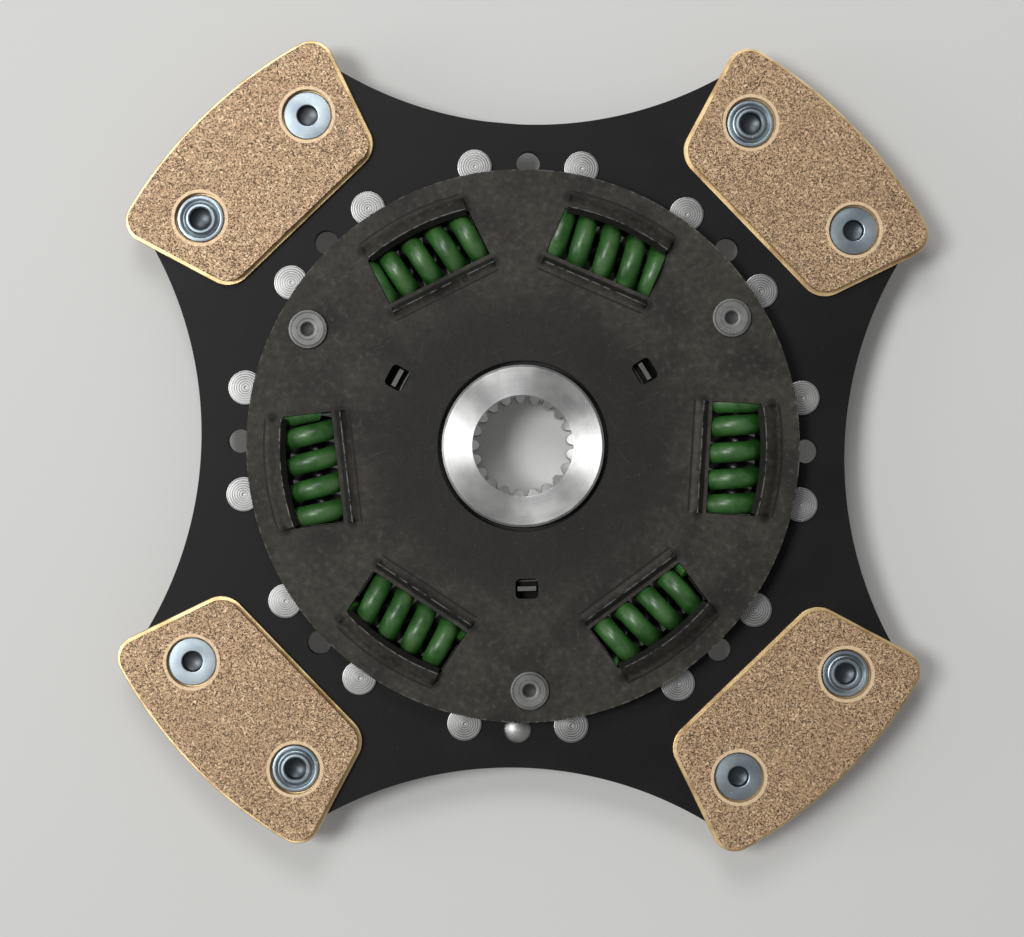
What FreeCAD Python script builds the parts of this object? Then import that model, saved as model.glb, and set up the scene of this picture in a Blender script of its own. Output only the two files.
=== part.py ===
import FreeCAD, Part

import math
import os
import re

import Sketcher

# A sprung clutch disc with four sintered pads. It stands on the lower end of its hub.
# The origin is on the axis in that end face, and +Z points along the bore towards the cover plate.
# Lengths are millimetres and angles are degrees.

SIZES = {
    # Hub with its internal spline
    "hub_length": (22.5, "whole length of the hub"),
    "barrel_radius": (19.0, "lower barrel, which runs in the centring bush"),
    "boss_radius": (21.0, "upper boss, seen in the middle of the cover plate"),
    "hub_chamfer": (0.6, "outer edges of both hub ends"),
    "spline_teeth": (21, "teeth of the internal spline"),
    "spline_tip": (11.4, "radius over the tips of the teeth"),
    "spline_root": (13.05, "radius in the roots between the teeth"),
    "spline_gap_tip": (2.2, "space between two teeth at their tips"),
    "spline_gap_root": (0.9, "space between two teeth at their roots"),
    "spline_flank": (2.4, "radius of the teeth's round flanks"),
    "lead_in_radius": (13.15, "edge of the lead-in at both ends of the bore"),
    "lead_in_depth": (1.2, "depth of the lead-in, over the ends of the teeth"),
    "flange_base": (13.2, "height of the flange's lower face"),
    "flange_thickness": (5.0, "hub flange between the two plates"),
    "flange_radius": (67.0, "rim of the hub flange"),
    "land_radius": (40.0, "recess in the flange's upper face for the friction rings"),
    "land_depth": (2.0, "depth of that recess"),
    # Rings between the flange and the plates
    "lower_washer": (0.8, "thickness of the lower friction washer"),
    "lower_washer_radius": (38.0, "rim of the lower friction washer"),
    "upper_washer": (1.0, "thickness of the upper friction washer"),
    "upper_washer_radius": (37.0, "rim of the upper friction washer"),
    "thrust_ring": (1.0, "thickness of the lugged thrust ring"),
    "thrust_ring_bore": (24.0, "bore radius of the thrust ring"),
    "disc_spring": (0.5, "sheet thickness of the disc spring"),
    "disc_spring_cone": (0.3, "height that the disc spring's cone adds"),
    "disc_spring_radius": (35.2, "rim of the disc spring"),
    "disc_spring_bore": (24.5, "bore radius of the disc spring"),
    "bush_wall": (2.0, "wall of the centring bush"),
    "bush_collar": (24.0, "radius of the bush's collar"),
    "ring_gap": (0.3, "radial gap between rings that turn apart"),
    "running_gap": (0.06, "radial clearance of the hub in its bush"),
    # Cover plate and drive plate, with their spring windows
    "plate_thickness": (2.5, "sheet of the cover plate and the drive plate"),
    "cover_rim": (4.5, "rim of the cover plate beyond the hub flange"),
    "cover_gap": (1.0, "gap between the hub boss and the bore of the cover plate"),
    "drive_rim": (6.0, "rim of the drive plate beyond the circle of the ring rivets"),
    "spring_circle": (54.5, "distance from the disc's axis to the springs' axes"),
    "spring_offset": (35.0, "angle from a stop pin to the spring on each side"),
    "window_length": (29.0, "length of a spring window"),
    "spring_radius": (8.25, "outer radius of a damper spring"),
    "wire_radius": (2.7, "wire of a damper spring"),
    "spring_pitch": (6.85, "distance from coil to coil"),
    "spring_end_gap": (0.2, "gap between a spring's end and its window"),
    "lip_gap": (0.3, "gap between a spring and the formed lips"),
    "lip_bend": (2.5, "outer bend where a lip leaves its plate"),
    "inner_lip_angle": (39.0, "how far the inner lip wraps over the spring"),
    "outer_lip_angle": (56.0, "how far the outer lip wraps over the spring"),
    "flange_window_gap": (0.6, "radial gap between a spring and the flange's window"),
    "window_corner": (0.8, "corners of the flange's windows"),
    # Stop pins, which join the plates and limit the twist
    "pin_count": (3, "stop pins, and pairs of springs"),
    "pin_angle": (32.6, "direction of the first stop pin"),
    "pin_inset": (3.8, "distance from the flange's rim in to a stop pin's axis"),
    "pin_spacer": (5.0, "radius of a pin between the plates"),
    "pin_shank": (3.5, "radius of a pin in the plates"),
    "pin_head": (5.0, "radius of a pin's riveted heads"),
    "pin_head_height": (1.0, "height of a pin's riveted heads"),
    "twist_limit": (5.0, "twist of the damper to each side"),
    "stop_gap": (0.3, "gap between a pin and its notch"),
    # Slots of the cover plate and the lugs that reach into them
    "lug_circle": (36.9, "distance from the disc's axis to the middle of a slot"),
    "slot_width": (5.9, "slot across the radius"),
    "slot_reach": (5.2, "slot along the radius"),
    "slot_corner": (1.2, "corners of a slot"),
    "lug_width": (4.8, "lug across the radius"),
    "lug_thickness": (1.2, "lug along the radius"),
    "lug_recess": (0.6, "depth of a lug's end below the cover plate's face"),
    # Spider, its ring of rivets and the balance holes
    "spider_thickness": (1.8, "sheet of the four-armed spider"),
    "spider_gap": (2.0, "gap between the hub flange and the bore of the spider"),
    "arm_reach": (117.0, "radius over the ends of the arms"),
    "arm_corner": (5.0, "corners at the ends of the arms"),
    "scallop_radius": (100.0, "radius of the hollow edges between the arms"),
    "scallop_web": (4.0, "least width of the spider outside the drive plate"),
    "ring_inset": (5.0, "distance from the spider's bore out to the ring rivets and the balance holes"),
    "ring_spread": (10.85, "angle from a balance hole to the rivet on each side"),
    "ring_shank": (2.5, "shank radius of a ring rivet"),
    "ring_head": (4.55, "head radius of a ring rivet"),
    "ring_head_height": (0.8, "head height of a ring rivet"),
    "ring_tail": (4.2, "radius of a ring rivet's closed end"),
    "ring_tail_height": (1.0, "height of a ring rivet's closed end"),
    "balance_holes": (8, "balance holes"),
    "balance_hole": (3.1, "radius of a balance hole"),
    "balance_head": (3.6, "radius of the balance rivet's head"),
    "balance_dome": (1.6, "height of the balance rivet's domed head"),
    "balance_angle": (270.0, "direction of the balance rivet"),
    # Friction pads on their backing plates
    "pad_count": (4, "pads on each side"),
    "pad_angle": (45.0, "direction of the first pad"),
    "pad_half_angle": (18.0, "angle from a pad's middle to its side"),
    "facing_radius": (120.0, "outer radius of the pads"),
    "pad_gap": (1.7, "gap between the drive plate's rim and a pad's straight inner edge"),
    "pad_outer_corner": (6.0, "outer corners of a backing plate"),
    "pad_inner_corner": (7.0, "inner corners of a backing plate"),
    "backing_thickness": (1.0, "sheet of a backing plate"),
    "backing_rim": (1.0, "rim of the backing plate round the friction material"),
    "friction_thickness": (2.6, "friction material on each side"),
    "pad_rivet_circle": (102.8, "distance from the disc's axis to a pad rivet"),
    "pad_rivet_spread": (10.85, "angle from a pad's middle to its rivets"),
    "pad_rivet_shank": (3.8, "shank radius of a pad rivet"),
    "pad_rivet_bore": (2.6, "bore radius of a pad rivet"),
    "pad_rivet_head": (6.25, "head radius of a pad rivet"),
    "pad_rivet_head_height": (1.0, "head height of a pad rivet"),
    "pad_rivet_roll_height": (1.4, "height of the rolled end"),
    "counterbore_gap": (0.3, "gap round a pad rivet in the friction material"),
    "hole_gap": (0.05, "radial clearance of a riveted shank in its hole"),
}

# Heights and radii that follow from the sizes above
DERIVED = {
    "cover_radius": "flange_radius + cover_rim",
    "cover_bore": "boss_radius + cover_gap",
    "pin_circle": "flange_radius - pin_inset",
    "spider_bore": "flange_radius + spider_gap",
    "ring_circle": "spider_bore + ring_inset",
    "drive_radius": "ring_circle + drive_rim",
    "scallop_centre": "drive_radius + scallop_web + scallop_radius",
    "pad_chord": "drive_radius + pad_gap",
    "flange_top": "flange_base + flange_thickness",
    "land_height": "flange_top - land_depth",
    "drive_top": "flange_base - lower_washer",
    "drive_base": "drive_top - plate_thickness",
    "thrust_base": "land_height + upper_washer",
    "thrust_top": "thrust_base + thrust_ring",
    "cover_base": "thrust_top + disc_spring + disc_spring_cone",
    "cover_top": "cover_base + plate_thickness",
    "spider_top": "drive_top + spider_thickness",
    "spring_height": "(drive_top + cover_base) / 2",
    "face_rise": "cover_top - spring_height",
    "lip_inside": "spring_radius + lip_gap",
    "lip_outside": "lip_inside + plate_thickness",
    "lip_circle": "sqrt(spring_circle ^ 2 + (window_length / 2) ^ 2)",
    "bush_bore": "barrel_radius + running_gap",
    "bush_radius": "bush_bore + bush_wall",
    "spring_length": "window_length - 2 * spring_end_gap",
    "coil_radius": "spring_radius - wire_radius",
    "backing_top": "spider_top + backing_thickness",
    "backing_base": "drive_top - backing_thickness",
}

doc = FreeCAD.newDocument("clutch_disc")
sheet = doc.addObject("Spreadsheet::Sheet", "Sizes")
for row, (alias, (value, meaning)) in enumerate(SIZES.items(), start=1):
    sheet.set(f"A{row}", meaning)
    sheet.set(f"B{row}", str(value))
    sheet.setAlias(f"B{row}", alias)
for row, (alias, formula) in enumerate(DERIVED.items(), start=len(SIZES) + 1):
    sheet.set(f"A{row}", alias.replace("_", " "))
    sheet.set(f"B{row}", "=" + formula)
    sheet.setAlias(f"B{row}", alias)
doc.recompute()


def bound(text):
    """The expression with each named size pointing at its cell of the sheet."""
    return re.sub(r"[a-z]\w*", lambda word: bound_word(word.group()), text)


def bound_word(word):
    return "Sizes." + word if word in SIZES or word in DERIVED else word


def size(text):
    """The present value of an expression of named sizes."""
    value = sheet.evalExpression(bound(text))
    return float(getattr(value, "Value", value))


def new_body(label, turn="0"):
    """An empty body that is turned about the disc's axis by its placement."""
    body = doc.addObject("PartDesign::Body", label)
    body.Label = label
    body.Placement = FreeCAD.Placement(FreeCAD.Vector(), FreeCAD.Rotation(FreeCAD.Vector(0, 0, 1), 1))
    body.setExpression("Placement.Rotation.Angle", bound(f"({turn}) * 1deg"))
    return body


def origin_part(body, role):
    return next(part for part in body.Origin.OriginFeatures if part.Role == role)


def sketch_on(body, role, name, turn="0", place=("0", "0", "0")):
    """A sketch on an origin plane, turned about the disc's axis and moved within the plane's own frame."""
    sketch = body.newObject("Sketcher::SketchObject", name)
    sketch.AttachmentSupport = [(origin_part(body, role), "")]
    sketch.MapMode = "FlatFace"
    axis = FreeCAD.Vector(0, 0, 1) if role == "XY_Plane" else FreeCAD.Vector(0, 1, 0)
    sketch.AttachmentOffset = FreeCAD.Placement(FreeCAD.Vector(), FreeCAD.Rotation(axis, 1))
    sketch.setExpression("AttachmentOffset.Rotation.Angle", bound(f"({turn}) * 1deg"))
    for letter, text in zip("xyz", place):
        sketch.setExpression(f"AttachmentOffset.Base.{letter}", bound(f"({text}) * 1mm"))
    return sketch


def hold(sketch, kind, *geometry, text):
    """A dimension of the sketch, driven by an expression."""
    index = sketch.addConstraint(Sketcher.Constraint(kind, *geometry, size(text)))
    sketch.setExpression(f"Constraints[{index}]", bound(text))


def circle(sketch, radius, x="0", y="0"):
    centre = FreeCAD.Vector(size(x), size(y), 0)
    index = sketch.addGeometry(Part.Circle(centre, FreeCAD.Vector(0, 0, 1), size(radius)))
    hold(sketch, "Radius", index, text=radius)
    hold(sketch, "DistanceX", -1, 1, index, 3, text=x)
    hold(sketch, "DistanceY", -1, 1, index, 3, text=y)


def arc_between(start, end, radius, side):
    """The arc from start to end whose centre lies on the left or the right of the way."""
    half = (end - start) * 0.5
    across = FreeCAD.Vector(-half.y, half.x, 0).normalize()
    depth = math.sqrt(max(radius**2 - half.Length**2, 0))
    centre = start + half + across * (depth if side == "left" else -depth)
    first, last = (start, end) if side == "left" else (end, start)
    angles = [math.atan2(point.y - centre.y, point.x - centre.x) for point in (first, last)]
    return Part.ArcOfCircle(Part.Circle(centre, FreeCAD.Vector(0, 0, 1), radius), *angles)


def outline(sketch, corners):
    """A closed outline. A corner that also gives a radius and a side starts an arc to the next corner."""
    places = [FreeCAD.Vector(size(corner[0]), size(corner[1]), 0) for corner in corners]
    ends = []
    for corner, start, end in zip(corners, places, places[1:] + places[:1]):
        if len(corner) == 2:
            index = sketch.addGeometry(Part.LineSegment(start, end))
            ends.append((index, 1, 2))
        else:
            index = sketch.addGeometry(arc_between(start, end, size(corner[2]), corner[3]))
            ends.append((index, 1, 2) if corner[3] == "left" else (index, 2, 1))
            hold(sketch, "Radius", index, text=corner[2])
    for corner, (index, start, _), (before, _, end) in zip(corners, ends, ends[-1:] + ends[:-1]):
        sketch.addConstraint(Sketcher.Constraint("Coincident", before, end, index, start))
        hold(sketch, "DistanceX", -1, 1, index, start, text=corner[0])
        hold(sketch, "DistanceY", -1, 1, index, start, text=corner[1])


def rounded_box(sketch, x, length, width, corner):
    """A rectangle along x, centred at x on the x axis, with round corners."""
    left, right = f"{x} - {length} / 2", f"{x} + {length} / 2"
    low, high = f"-({width}) / 2", f"({width}) / 2"
    outline(sketch, [
        (f"{left} + {corner}", low),
        (f"{right} - {corner}", low, corner, "left"),
        (right, f"{low} + {corner}"),
        (right, f"{high} - {corner}", corner, "left"),
        (f"{right} - {corner}", high),
        (f"{left} + {corner}", high, corner, "left"),
        (left, f"{high} - {corner}"),
        (left, f"{low} + {corner}", corner, "left"),
    ])


def pad(body, sketch, name, length, symmetric=False):
    feature = body.newObject("PartDesign::Pad", name)
    feature.Profile = sketch
    feature.SideType = "Symmetric" if symmetric else "One side"
    feature.setExpression("Length", bound(length))
    return feature


def pocket(body, sketch, name, length=None):
    """A cut to both sides of the sketch: right through, or over the length given."""
    feature = body.newObject("PartDesign::Pocket", name)
    feature.Profile = sketch
    feature.SideType = "Symmetric"
    if length is None:
        feature.Type = "ThroughAll"
    else:
        feature.setExpression("Length", bound(length))
    return feature


def revolve(body, sketch, name, kind="Revolution", angle=None, axis=None):
    """A full turn, or an angle to both sides of the sketch, about the disc's axis or the sketch's own."""
    feature = body.newObject(f"PartDesign::{kind}", name)
    feature.Profile = sketch
    feature.ReferenceAxis = axis or (origin_part(body, "Z_Axis"), [""])
    if angle is None:
        feature.Angle = 360
    else:
        feature.Midplane = True
        feature.setExpression("Angle", bound(angle))
    return feature


def around(body, name, features, count):
    """The features repeated round the disc's axis."""
    pattern = body.newObject("PartDesign::PolarPattern", name)
    pattern.Originals = features
    pattern.Axis = (origin_part(body, "Z_Axis"), [""])
    pattern.Angle = 360
    pattern.setExpression("Occurrences", bound(count))
    body.Tip = pattern
    return pattern


def drill(body, name, radius, circle_radius, count, turn="0"):
    """A ring of round through holes; the first one lies at the turn given."""
    sketch = sketch_on(body, "XY_Plane", name + "_sketch", turn)
    circle(sketch, radius, circle_radius)
    around(body, name + "_ring", [pocket(body, sketch, name)], count)


def make_hub():
    """The splined hub and its flange, with the springs' windows and the open notches of the stop pins."""
    body = new_body("hub")
    section = sketch_on(body, "XZ_Plane", "hub_section")
    outline(section, [
        ("spline_tip", "0"),
        ("barrel_radius - hub_chamfer", "0"),
        ("barrel_radius", "hub_chamfer"),
        ("barrel_radius", "flange_base"),
        ("flange_radius", "flange_base"),
        ("flange_radius", "flange_top"),
        ("land_radius", "flange_top"),
        ("land_radius", "land_height"),
        ("boss_radius", "land_height"),
        ("boss_radius", "hub_length - hub_chamfer"),
        ("boss_radius - hub_chamfer", "hub_length"),
        ("spline_tip", "hub_length"),
    ])
    revolve(body, section, "hub_turned")

    for sign in ("+", "-"):
        name = "window_after_pin" if sign == "+" else "window_before_pin"
        window = sketch_on(body, "XY_Plane", name + "_sketch", f"pin_angle {sign} spring_offset")
        radial = "2 * (spring_radius + flange_window_gap)"
        rounded_box(window, "spring_circle", radial, "window_length", "window_corner")
        around(body, name + "s", [pocket(body, window, name)], "pin_count")

    notch = sketch_on(body, "XY_Plane", "notch_sketch", "pin_angle")
    outline(notch, notch_corners())
    around(body, "notches", [pocket(body, notch, "notch")], "pin_count")

    space = sketch_on(body, "XY_Plane", "spline_space_sketch")
    inside = "spline_tip - (spline_root - spline_tip) / 2"
    outline(space, [
        (inside, "-spline_gap_tip / 2"),
        ("spline_tip", "-spline_gap_tip / 2", "spline_flank", "right"),
        ("spline_root", "-spline_gap_root / 2", "spline_root", "left"),
        ("spline_root", "spline_gap_root / 2", "spline_flank", "right"),
        ("spline_tip", "spline_gap_tip / 2"),
        (inside, "spline_gap_tip / 2"),
    ])
    around(body, "spline", [pocket(body, space, "spline_space")], "spline_teeth")

    for name, level, way in (("upper_lead_in", "hub_length", "+"), ("lower_lead_in", "0", "-")):
        lead = sketch_on(body, "XZ_Plane", name + "_sketch")
        bottom = f"{level} - ({way}lead_in_depth)"
        outline(lead, [
            ("spline_tip / 2", bottom),
            ("spline_tip", bottom),
            ("lead_in_radius", level),
            ("lead_in_radius", f"{level} + ({way}lead_in_depth)"),
            ("spline_tip / 2", f"{level} + ({way}lead_in_depth)"),
        ])
        revolve(body, lead, name, "Groove")
    return body


def notch_corners():
    """A notch open at the rim, whose round bottom corners take the stop pin at both ends of the twist."""
    room = "(pin_spacer + stop_gap)"
    depth = f"(pin_circle - {room})"
    rim = "(flange_radius + pin_spacer)"
    cosine, sine = "cos(twist_limit * 1deg)", "sin(twist_limit * 1deg)"
    bottom = (f"{depth} * {cosine}", f"{depth} * {sine}")
    side = (f"pin_circle * {cosine} - {room} * {sine}", f"pin_circle * {sine} + {room} * {cosine}")
    mouth = (f"{rim} * {cosine} - {room} * {sine}", f"{rim} * {sine} + {room} * {cosine}")
    return [
        (bottom[0], f"-({bottom[1]})", depth, "left"),
        (*bottom, room, "right"),
        side,
        mouth,
        (mouth[0], f"-({mouth[1]})"),
        (side[0], f"-({side[1]})", room, "right"),
    ]


def make_plate(label, radius, bore, base, side):
    """A pressed plate whose spring windows have lips formed round the springs.

    The inner lip of a window is straight and the outer one follows a circle about the disc's axis.
    The side is 1 where the lips rise above the plate and -1 where they hang below it.
    """
    body = new_body(label)
    disc = sketch_on(body, "XY_Plane", "disc_sketch", place=("0", "0", base))
    circle(disc, radius)
    circle(disc, bore)
    pad(body, disc, "disc", "plate_thickness")

    lips, cuts = [], []
    half_span = "asin(window_length / 2 / (lip_circle + lip_inside)) * 2"
    for sign, name in (("+", "after_pin"), ("-", "before_pin")):
        turn = f"pin_angle {sign} spring_offset"
        inner = sketch_on(body, "XZ_Plane", f"inner_lip_{name}_sketch", turn)
        outline(inner, lip_section("spring_circle", "inner_lip_angle", -1, side))
        lips.append(pad(body, inner, f"inner_lip_{name}", "window_length", symmetric=True))
        outer = sketch_on(body, "XZ_Plane", f"outer_lip_{name}_sketch", turn)
        outline(outer, lip_section("lip_circle", "outer_lip_angle", 1, side))
        lips.append(revolve(body, outer, f"outer_lip_{name}", angle=half_span))
    around(body, "lips", lips, "pin_count")
    for sign, name in (("+", "after_pin"), ("-", "before_pin")):
        turn = f"pin_angle {sign} spring_offset"
        straight = sketch_on(body, "XZ_Plane", f"window_{name}_sketch", turn)
        circle(straight, "lip_inside", "spring_circle", "spring_height")
        cuts.append(pocket(body, straight, f"window_{name}", "window_length"))
        bowed = sketch_on(body, "XZ_Plane", f"outer_room_{name}_sketch", turn)
        circle(bowed, "lip_inside", "lip_circle", "spring_height")
        cuts.append(revolve(body, bowed, f"outer_room_{name}", "Groove", half_span))
    around(body, "windows", cuts, "pin_count")
    drill(body, "pin_hole", "pin_shank + hole_gap", "pin_circle", "pin_count", "pin_angle")
    return body


def lip_section(centre, wrap, way, side):
    """The section of a lip: a bend out of the plate's face, then an arc round the spring up to the lip's edge.

    The way is -1 towards the disc's axis and 1 away from it.
    """
    across, along = f"(lip_outside + lip_bend)", "(face_rise + lip_bend)"
    reach = f"sqrt({across} ^ 2 - {along} ^ 2)"
    share = f"lip_outside / {across}"
    inside = "(lip_inside - lip_bend / 2)"
    middle = "(face_rise - plate_thickness / 2)"
    foot = f"{centre} + {way} * {reach}"
    tip = f"{centre} + {way} * {inside} * cos({wrap} * 1deg)"

    def rise(text):
        return f"spring_height + {side} * ({text})"

    bend, wrapped = ("left", "right") if way * side < 0 else ("right", "left")
    return [
        (foot, rise("face_rise"), "lip_bend", bend),
        (f"{centre} + {way} * {reach} * {share}", rise(f"{along} * {share}"), "lip_outside", wrapped),
        (f"{centre} + {way} * lip_outside * cos({wrap} * 1deg)", rise(f"lip_outside * sin({wrap} * 1deg)")),
        (tip, rise(f"{inside} * sin({wrap} * 1deg)")),
        (tip, rise(middle)),
        (foot, rise(middle)),
    ]


def make_cover_plate():
    """The plate seen from above, with a slot for each lug of the thrust ring."""
    body = make_plate("cover_plate", "cover_radius", "cover_bore", "cover_base", 1)
    slot = sketch_on(body, "XY_Plane", "slot_sketch", "pin_angle")
    rounded_box(slot, "lug_circle", "slot_reach", "slot_width", "slot_corner")
    around(body, "slots", [pocket(body, slot, "slot")], "pin_count")
    return body


def make_drive_plate():
    """The plate that carries the spider, centred on the hub by its bush."""
    body = make_plate("drive_plate", "drive_radius", "bush_radius + hole_gap", "drive_base", -1)
    drill_ring(body)
    return body


def drill_ring(body):
    """The balance holes and the holes of the ring rivets, the same in the spider and the drive plate."""
    drill(body, "balance_hole", "balance_hole", "ring_circle", "balance_holes")
    drill(body, "rivet_hole_after", "ring_shank + hole_gap", "ring_circle", "balance_holes", "ring_spread")
    drill(body, "rivet_hole_before", "ring_shank + hole_gap", "ring_circle", "balance_holes", "-ring_spread")


def make_spider():
    """The thin four-armed plate that the pads are riveted to."""
    body = new_body("spider")
    disc = sketch_on(body, "XY_Plane", "spider_sketch", place=("0", "0", "drive_top"))
    circle(disc, "arm_reach")
    circle(disc, "spider_bore")
    pad(body, disc, "spider_disc", "spider_thickness")
    hollow = sketch_on(body, "XY_Plane", "hollow_sketch", "pad_angle - 180 / pad_count")
    circle(hollow, "scallop_radius", "scallop_centre")
    hollows = around(body, "hollows", [pocket(body, hollow, "hollow")], "pad_count")
    round_corners(body, hollows, "arm_corners", "arm_corner", 2 * int(size("pad_count")))
    drill_ring(body)
    for sign, name in (("+", "after"), ("-", "before")):
        turn = f"pad_angle {sign} pad_rivet_spread"
        drill(body, f"pad_rivet_hole_{name}", "pad_rivet_shank + hole_gap", "pad_rivet_circle", "pad_count", turn)
    return body


def make_ring(label, inner, outer, low, high):
    """A flat ring given by two radii and two heights."""
    body = new_body(label)
    face = sketch_on(body, "XY_Plane", "ring_sketch", place=("0", "0", low))
    circle(face, outer)
    circle(face, inner)
    pad(body, face, "ring", f"{high} - ({low})")
    return body


def make_thrust_ring():
    """The steel ring whose lugs are bent up into the slots of the cover plate."""
    body = make_ring("thrust_ring", "thrust_ring_bore", "lug_circle + lug_thickness / 2", "thrust_base", "thrust_top")
    lug = sketch_on(body, "XY_Plane", "lug_sketch", "pin_angle", ("0", "0", "thrust_base"))
    inner, outer = "lug_circle - lug_thickness / 2", "lug_circle + lug_thickness / 2"
    outline(lug, [
        (inner, "-lug_width / 2"),
        (outer, "-lug_width / 2"),
        (outer, "lug_width / 2"),
        (inner, "lug_width / 2"),
    ])
    upright = pad(body, lug, "lug", "cover_top - lug_recess - thrust_base")
    around(body, "lugs", [upright], "pin_count")
    return body


def make_disc_spring():
    """The coned ring that presses the thrust ring down."""
    body = new_body("disc_spring")
    section = sketch_on(body, "XZ_Plane", "cone_section")
    outline(section, [
        ("disc_spring_radius", "thrust_top"),
        ("disc_spring_radius", "thrust_top + disc_spring"),
        ("disc_spring_bore", "cover_base"),
        ("disc_spring_bore", "cover_base - disc_spring"),
    ])
    revolve(body, section, "cone")
    return body


def make_centring_bush():
    """The collared bush between the hub's barrel and the drive plate."""
    body = new_body("centring_bush")
    section = sketch_on(body, "XZ_Plane", "bush_section")
    outline(section, [
        ("bush_bore", "drive_base"),
        ("bush_radius", "drive_base"),
        ("bush_radius", "drive_top"),
        ("bush_collar", "drive_top"),
        ("bush_collar", "flange_base"),
        ("bush_bore", "flange_base"),
    ])
    revolve(body, section, "bush")
    return body


def make_damper_spring(number, turn):
    """A right-handed coil spring with both ends cut flat, lying across the radius in its windows."""
    body = new_body(f"damper_spring_{number}", turn)
    start = "-spring_length / 2 - spring_pitch"
    wire = sketch_on(body, "XY_Plane", "wire_sketch", place=("spring_circle", "0", "spring_height"))
    circle(wire, "wire_radius", "coil_radius", start)
    coil = body.newObject("PartDesign::AdditiveHelix", "coil")
    coil.Profile = wire
    coil.ReferenceAxis = (wire, ["V_Axis"])
    coil.Mode = "pitch-height-angle"
    coil.setExpression("Pitch", bound("spring_pitch"))
    coil.setExpression("Height", bound("spring_length + 2 * spring_pitch"))
    coil.LeftHanded = False
    for side, name in (("1", "first_end"), ("-1", "second_end")):
        middle = f"{side} * (spring_length / 2 + 2 * spring_pitch)"
        end = sketch_on(body, "XZ_Plane", name + "_sketch", place=("0", "0", middle))
        circle(end, "2 * spring_radius", "spring_circle", "spring_height")
        pocket(body, end, name, "4 * spring_pitch")
    return body


def rivet(body, name, circle_radius, section, turn="0"):
    """A turned rivet or pin whose own axis stands on a circle about the disc's axis."""
    place = (f"{circle_radius} * cos(({turn}) * 1deg)", "0", f"-{circle_radius} * sin(({turn}) * 1deg)")
    sketch = sketch_on(body, "XZ_Plane", name + "_section", turn, place)
    outline(sketch, section)
    return revolve(body, sketch, name, axis=(sketch, ["V_Axis"]))


def rivet_group(label, name, circle_radius, section, turns, count):
    """Equal rivets as separate solids of one sub-part, repeated round the disc's axis."""
    body = new_body(label)
    body.AllowCompound = True
    rivets = [rivet(body, f"{name}_{number}", circle_radius, section, turn)
              for number, turn in enumerate(turns, start=1)]
    around(body, name + "_ring", rivets, count)
    return body


def make_stop_pin(number, turn):
    """A shouldered pin riveted into both plates."""
    body = new_body(f"stop_pin_{number}", turn)
    rivet(body, "pin", "pin_circle", [
        ("0", "drive_base - pin_head_height"),
        ("pin_head", "drive_base - pin_head_height"),
        ("pin_head", "drive_base"),
        ("pin_shank", "drive_base"),
        ("pin_shank", "drive_top"),
        ("pin_spacer", "drive_top"),
        ("pin_spacer", "cover_base"),
        ("pin_shank", "cover_base"),
        ("pin_shank", "cover_top"),
        ("pin_head", "cover_top"),
        ("pin_head", "cover_top + pin_head_height"),
        ("0", "cover_top + pin_head_height"),
    ])
    return body


def make_ring_rivets():
    """The rivets that join the spider to the drive plate, one on each side of every balance hole."""
    section = [
        ("0", "drive_base - ring_tail_height"),
        ("ring_tail", "drive_base - ring_tail_height"),
        ("ring_tail", "drive_base"),
        ("ring_shank", "drive_base"),
        ("ring_shank", "spider_top"),
        ("ring_head", "spider_top"),
        ("ring_head", "spider_top + ring_head_height"),
        ("0", "spider_top + ring_head_height"),
    ]
    return rivet_group("ring_rivets", "ring_rivet", "ring_circle", section,
                       ("ring_spread", "-ring_spread"), "balance_holes")


def make_pad_rivets(label, turn, head_up):
    """Tubular rivets through the spider and the backing plates: a flat head at one end, a rolled edge at the other."""
    def level(text):
        return text if head_up else f"backing_top + backing_base - ({text})"

    roll = "(backing_base - pad_rivet_roll_height)"
    section = [
        ("pad_rivet_bore", level("backing_top + pad_rivet_head_height")),
        ("pad_rivet_head", level("backing_top + pad_rivet_head_height")),
        ("pad_rivet_head", level("backing_top")),
        ("pad_rivet_shank", level("backing_top")),
        ("pad_rivet_shank", level("backing_base")),
        ("pad_rivet_head", level("backing_base")),
        ("pad_rivet_shank + pad_rivet_roll_height", level(roll)),
        ("pad_rivet_shank", level(roll)),
        ("pad_rivet_bore", level(f"{roll} / 2 + backing_base / 2")),
    ]
    return rivet_group(label, "pad_rivet", "pad_rivet_circle", section, (turn,), "pad_count")


def make_balance_rivet():
    """The domed rivet in one of the balance holes."""
    body = new_body("balance_rivet", "balance_angle")
    shank = "balance_hole - hole_gap"
    dome = "(balance_head ^ 2 + balance_dome ^ 2) / (2 * balance_dome)"
    rivet(body, "balance", "ring_circle", [
        ("0", "drive_base - ring_tail_height"),
        ("balance_head", "drive_base - ring_tail_height"),
        ("balance_head", "drive_base"),
        (shank, "drive_base"),
        (shank, "spider_top"),
        ("balance_head", "spider_top", dome, "left"),
        ("0", "spider_top + balance_dome"),
    ])
    return body


def pad_outline(sketch, rim):
    """A pad's outline, set in by a rim: radial sides, a straight inner edge and the disc's outer circle."""
    chord, arc = f"(pad_chord + {rim})", f"(facing_radius - {rim})"
    side = f"({chord} * tan(pad_half_angle * 1deg) - {rim} / cos(pad_half_angle * 1deg))"
    corner = f"(pad_half_angle * 1deg - asin({rim} / {arc}))"
    outline(sketch, [
        (chord, f"-{side}"),
        (f"{arc} * cos({corner})", f"-{arc} * sin({corner})", arc, "left"),
        (f"{arc} * cos({corner})", f"{arc} * sin({corner})"),
        (chord, side),
    ])


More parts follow.
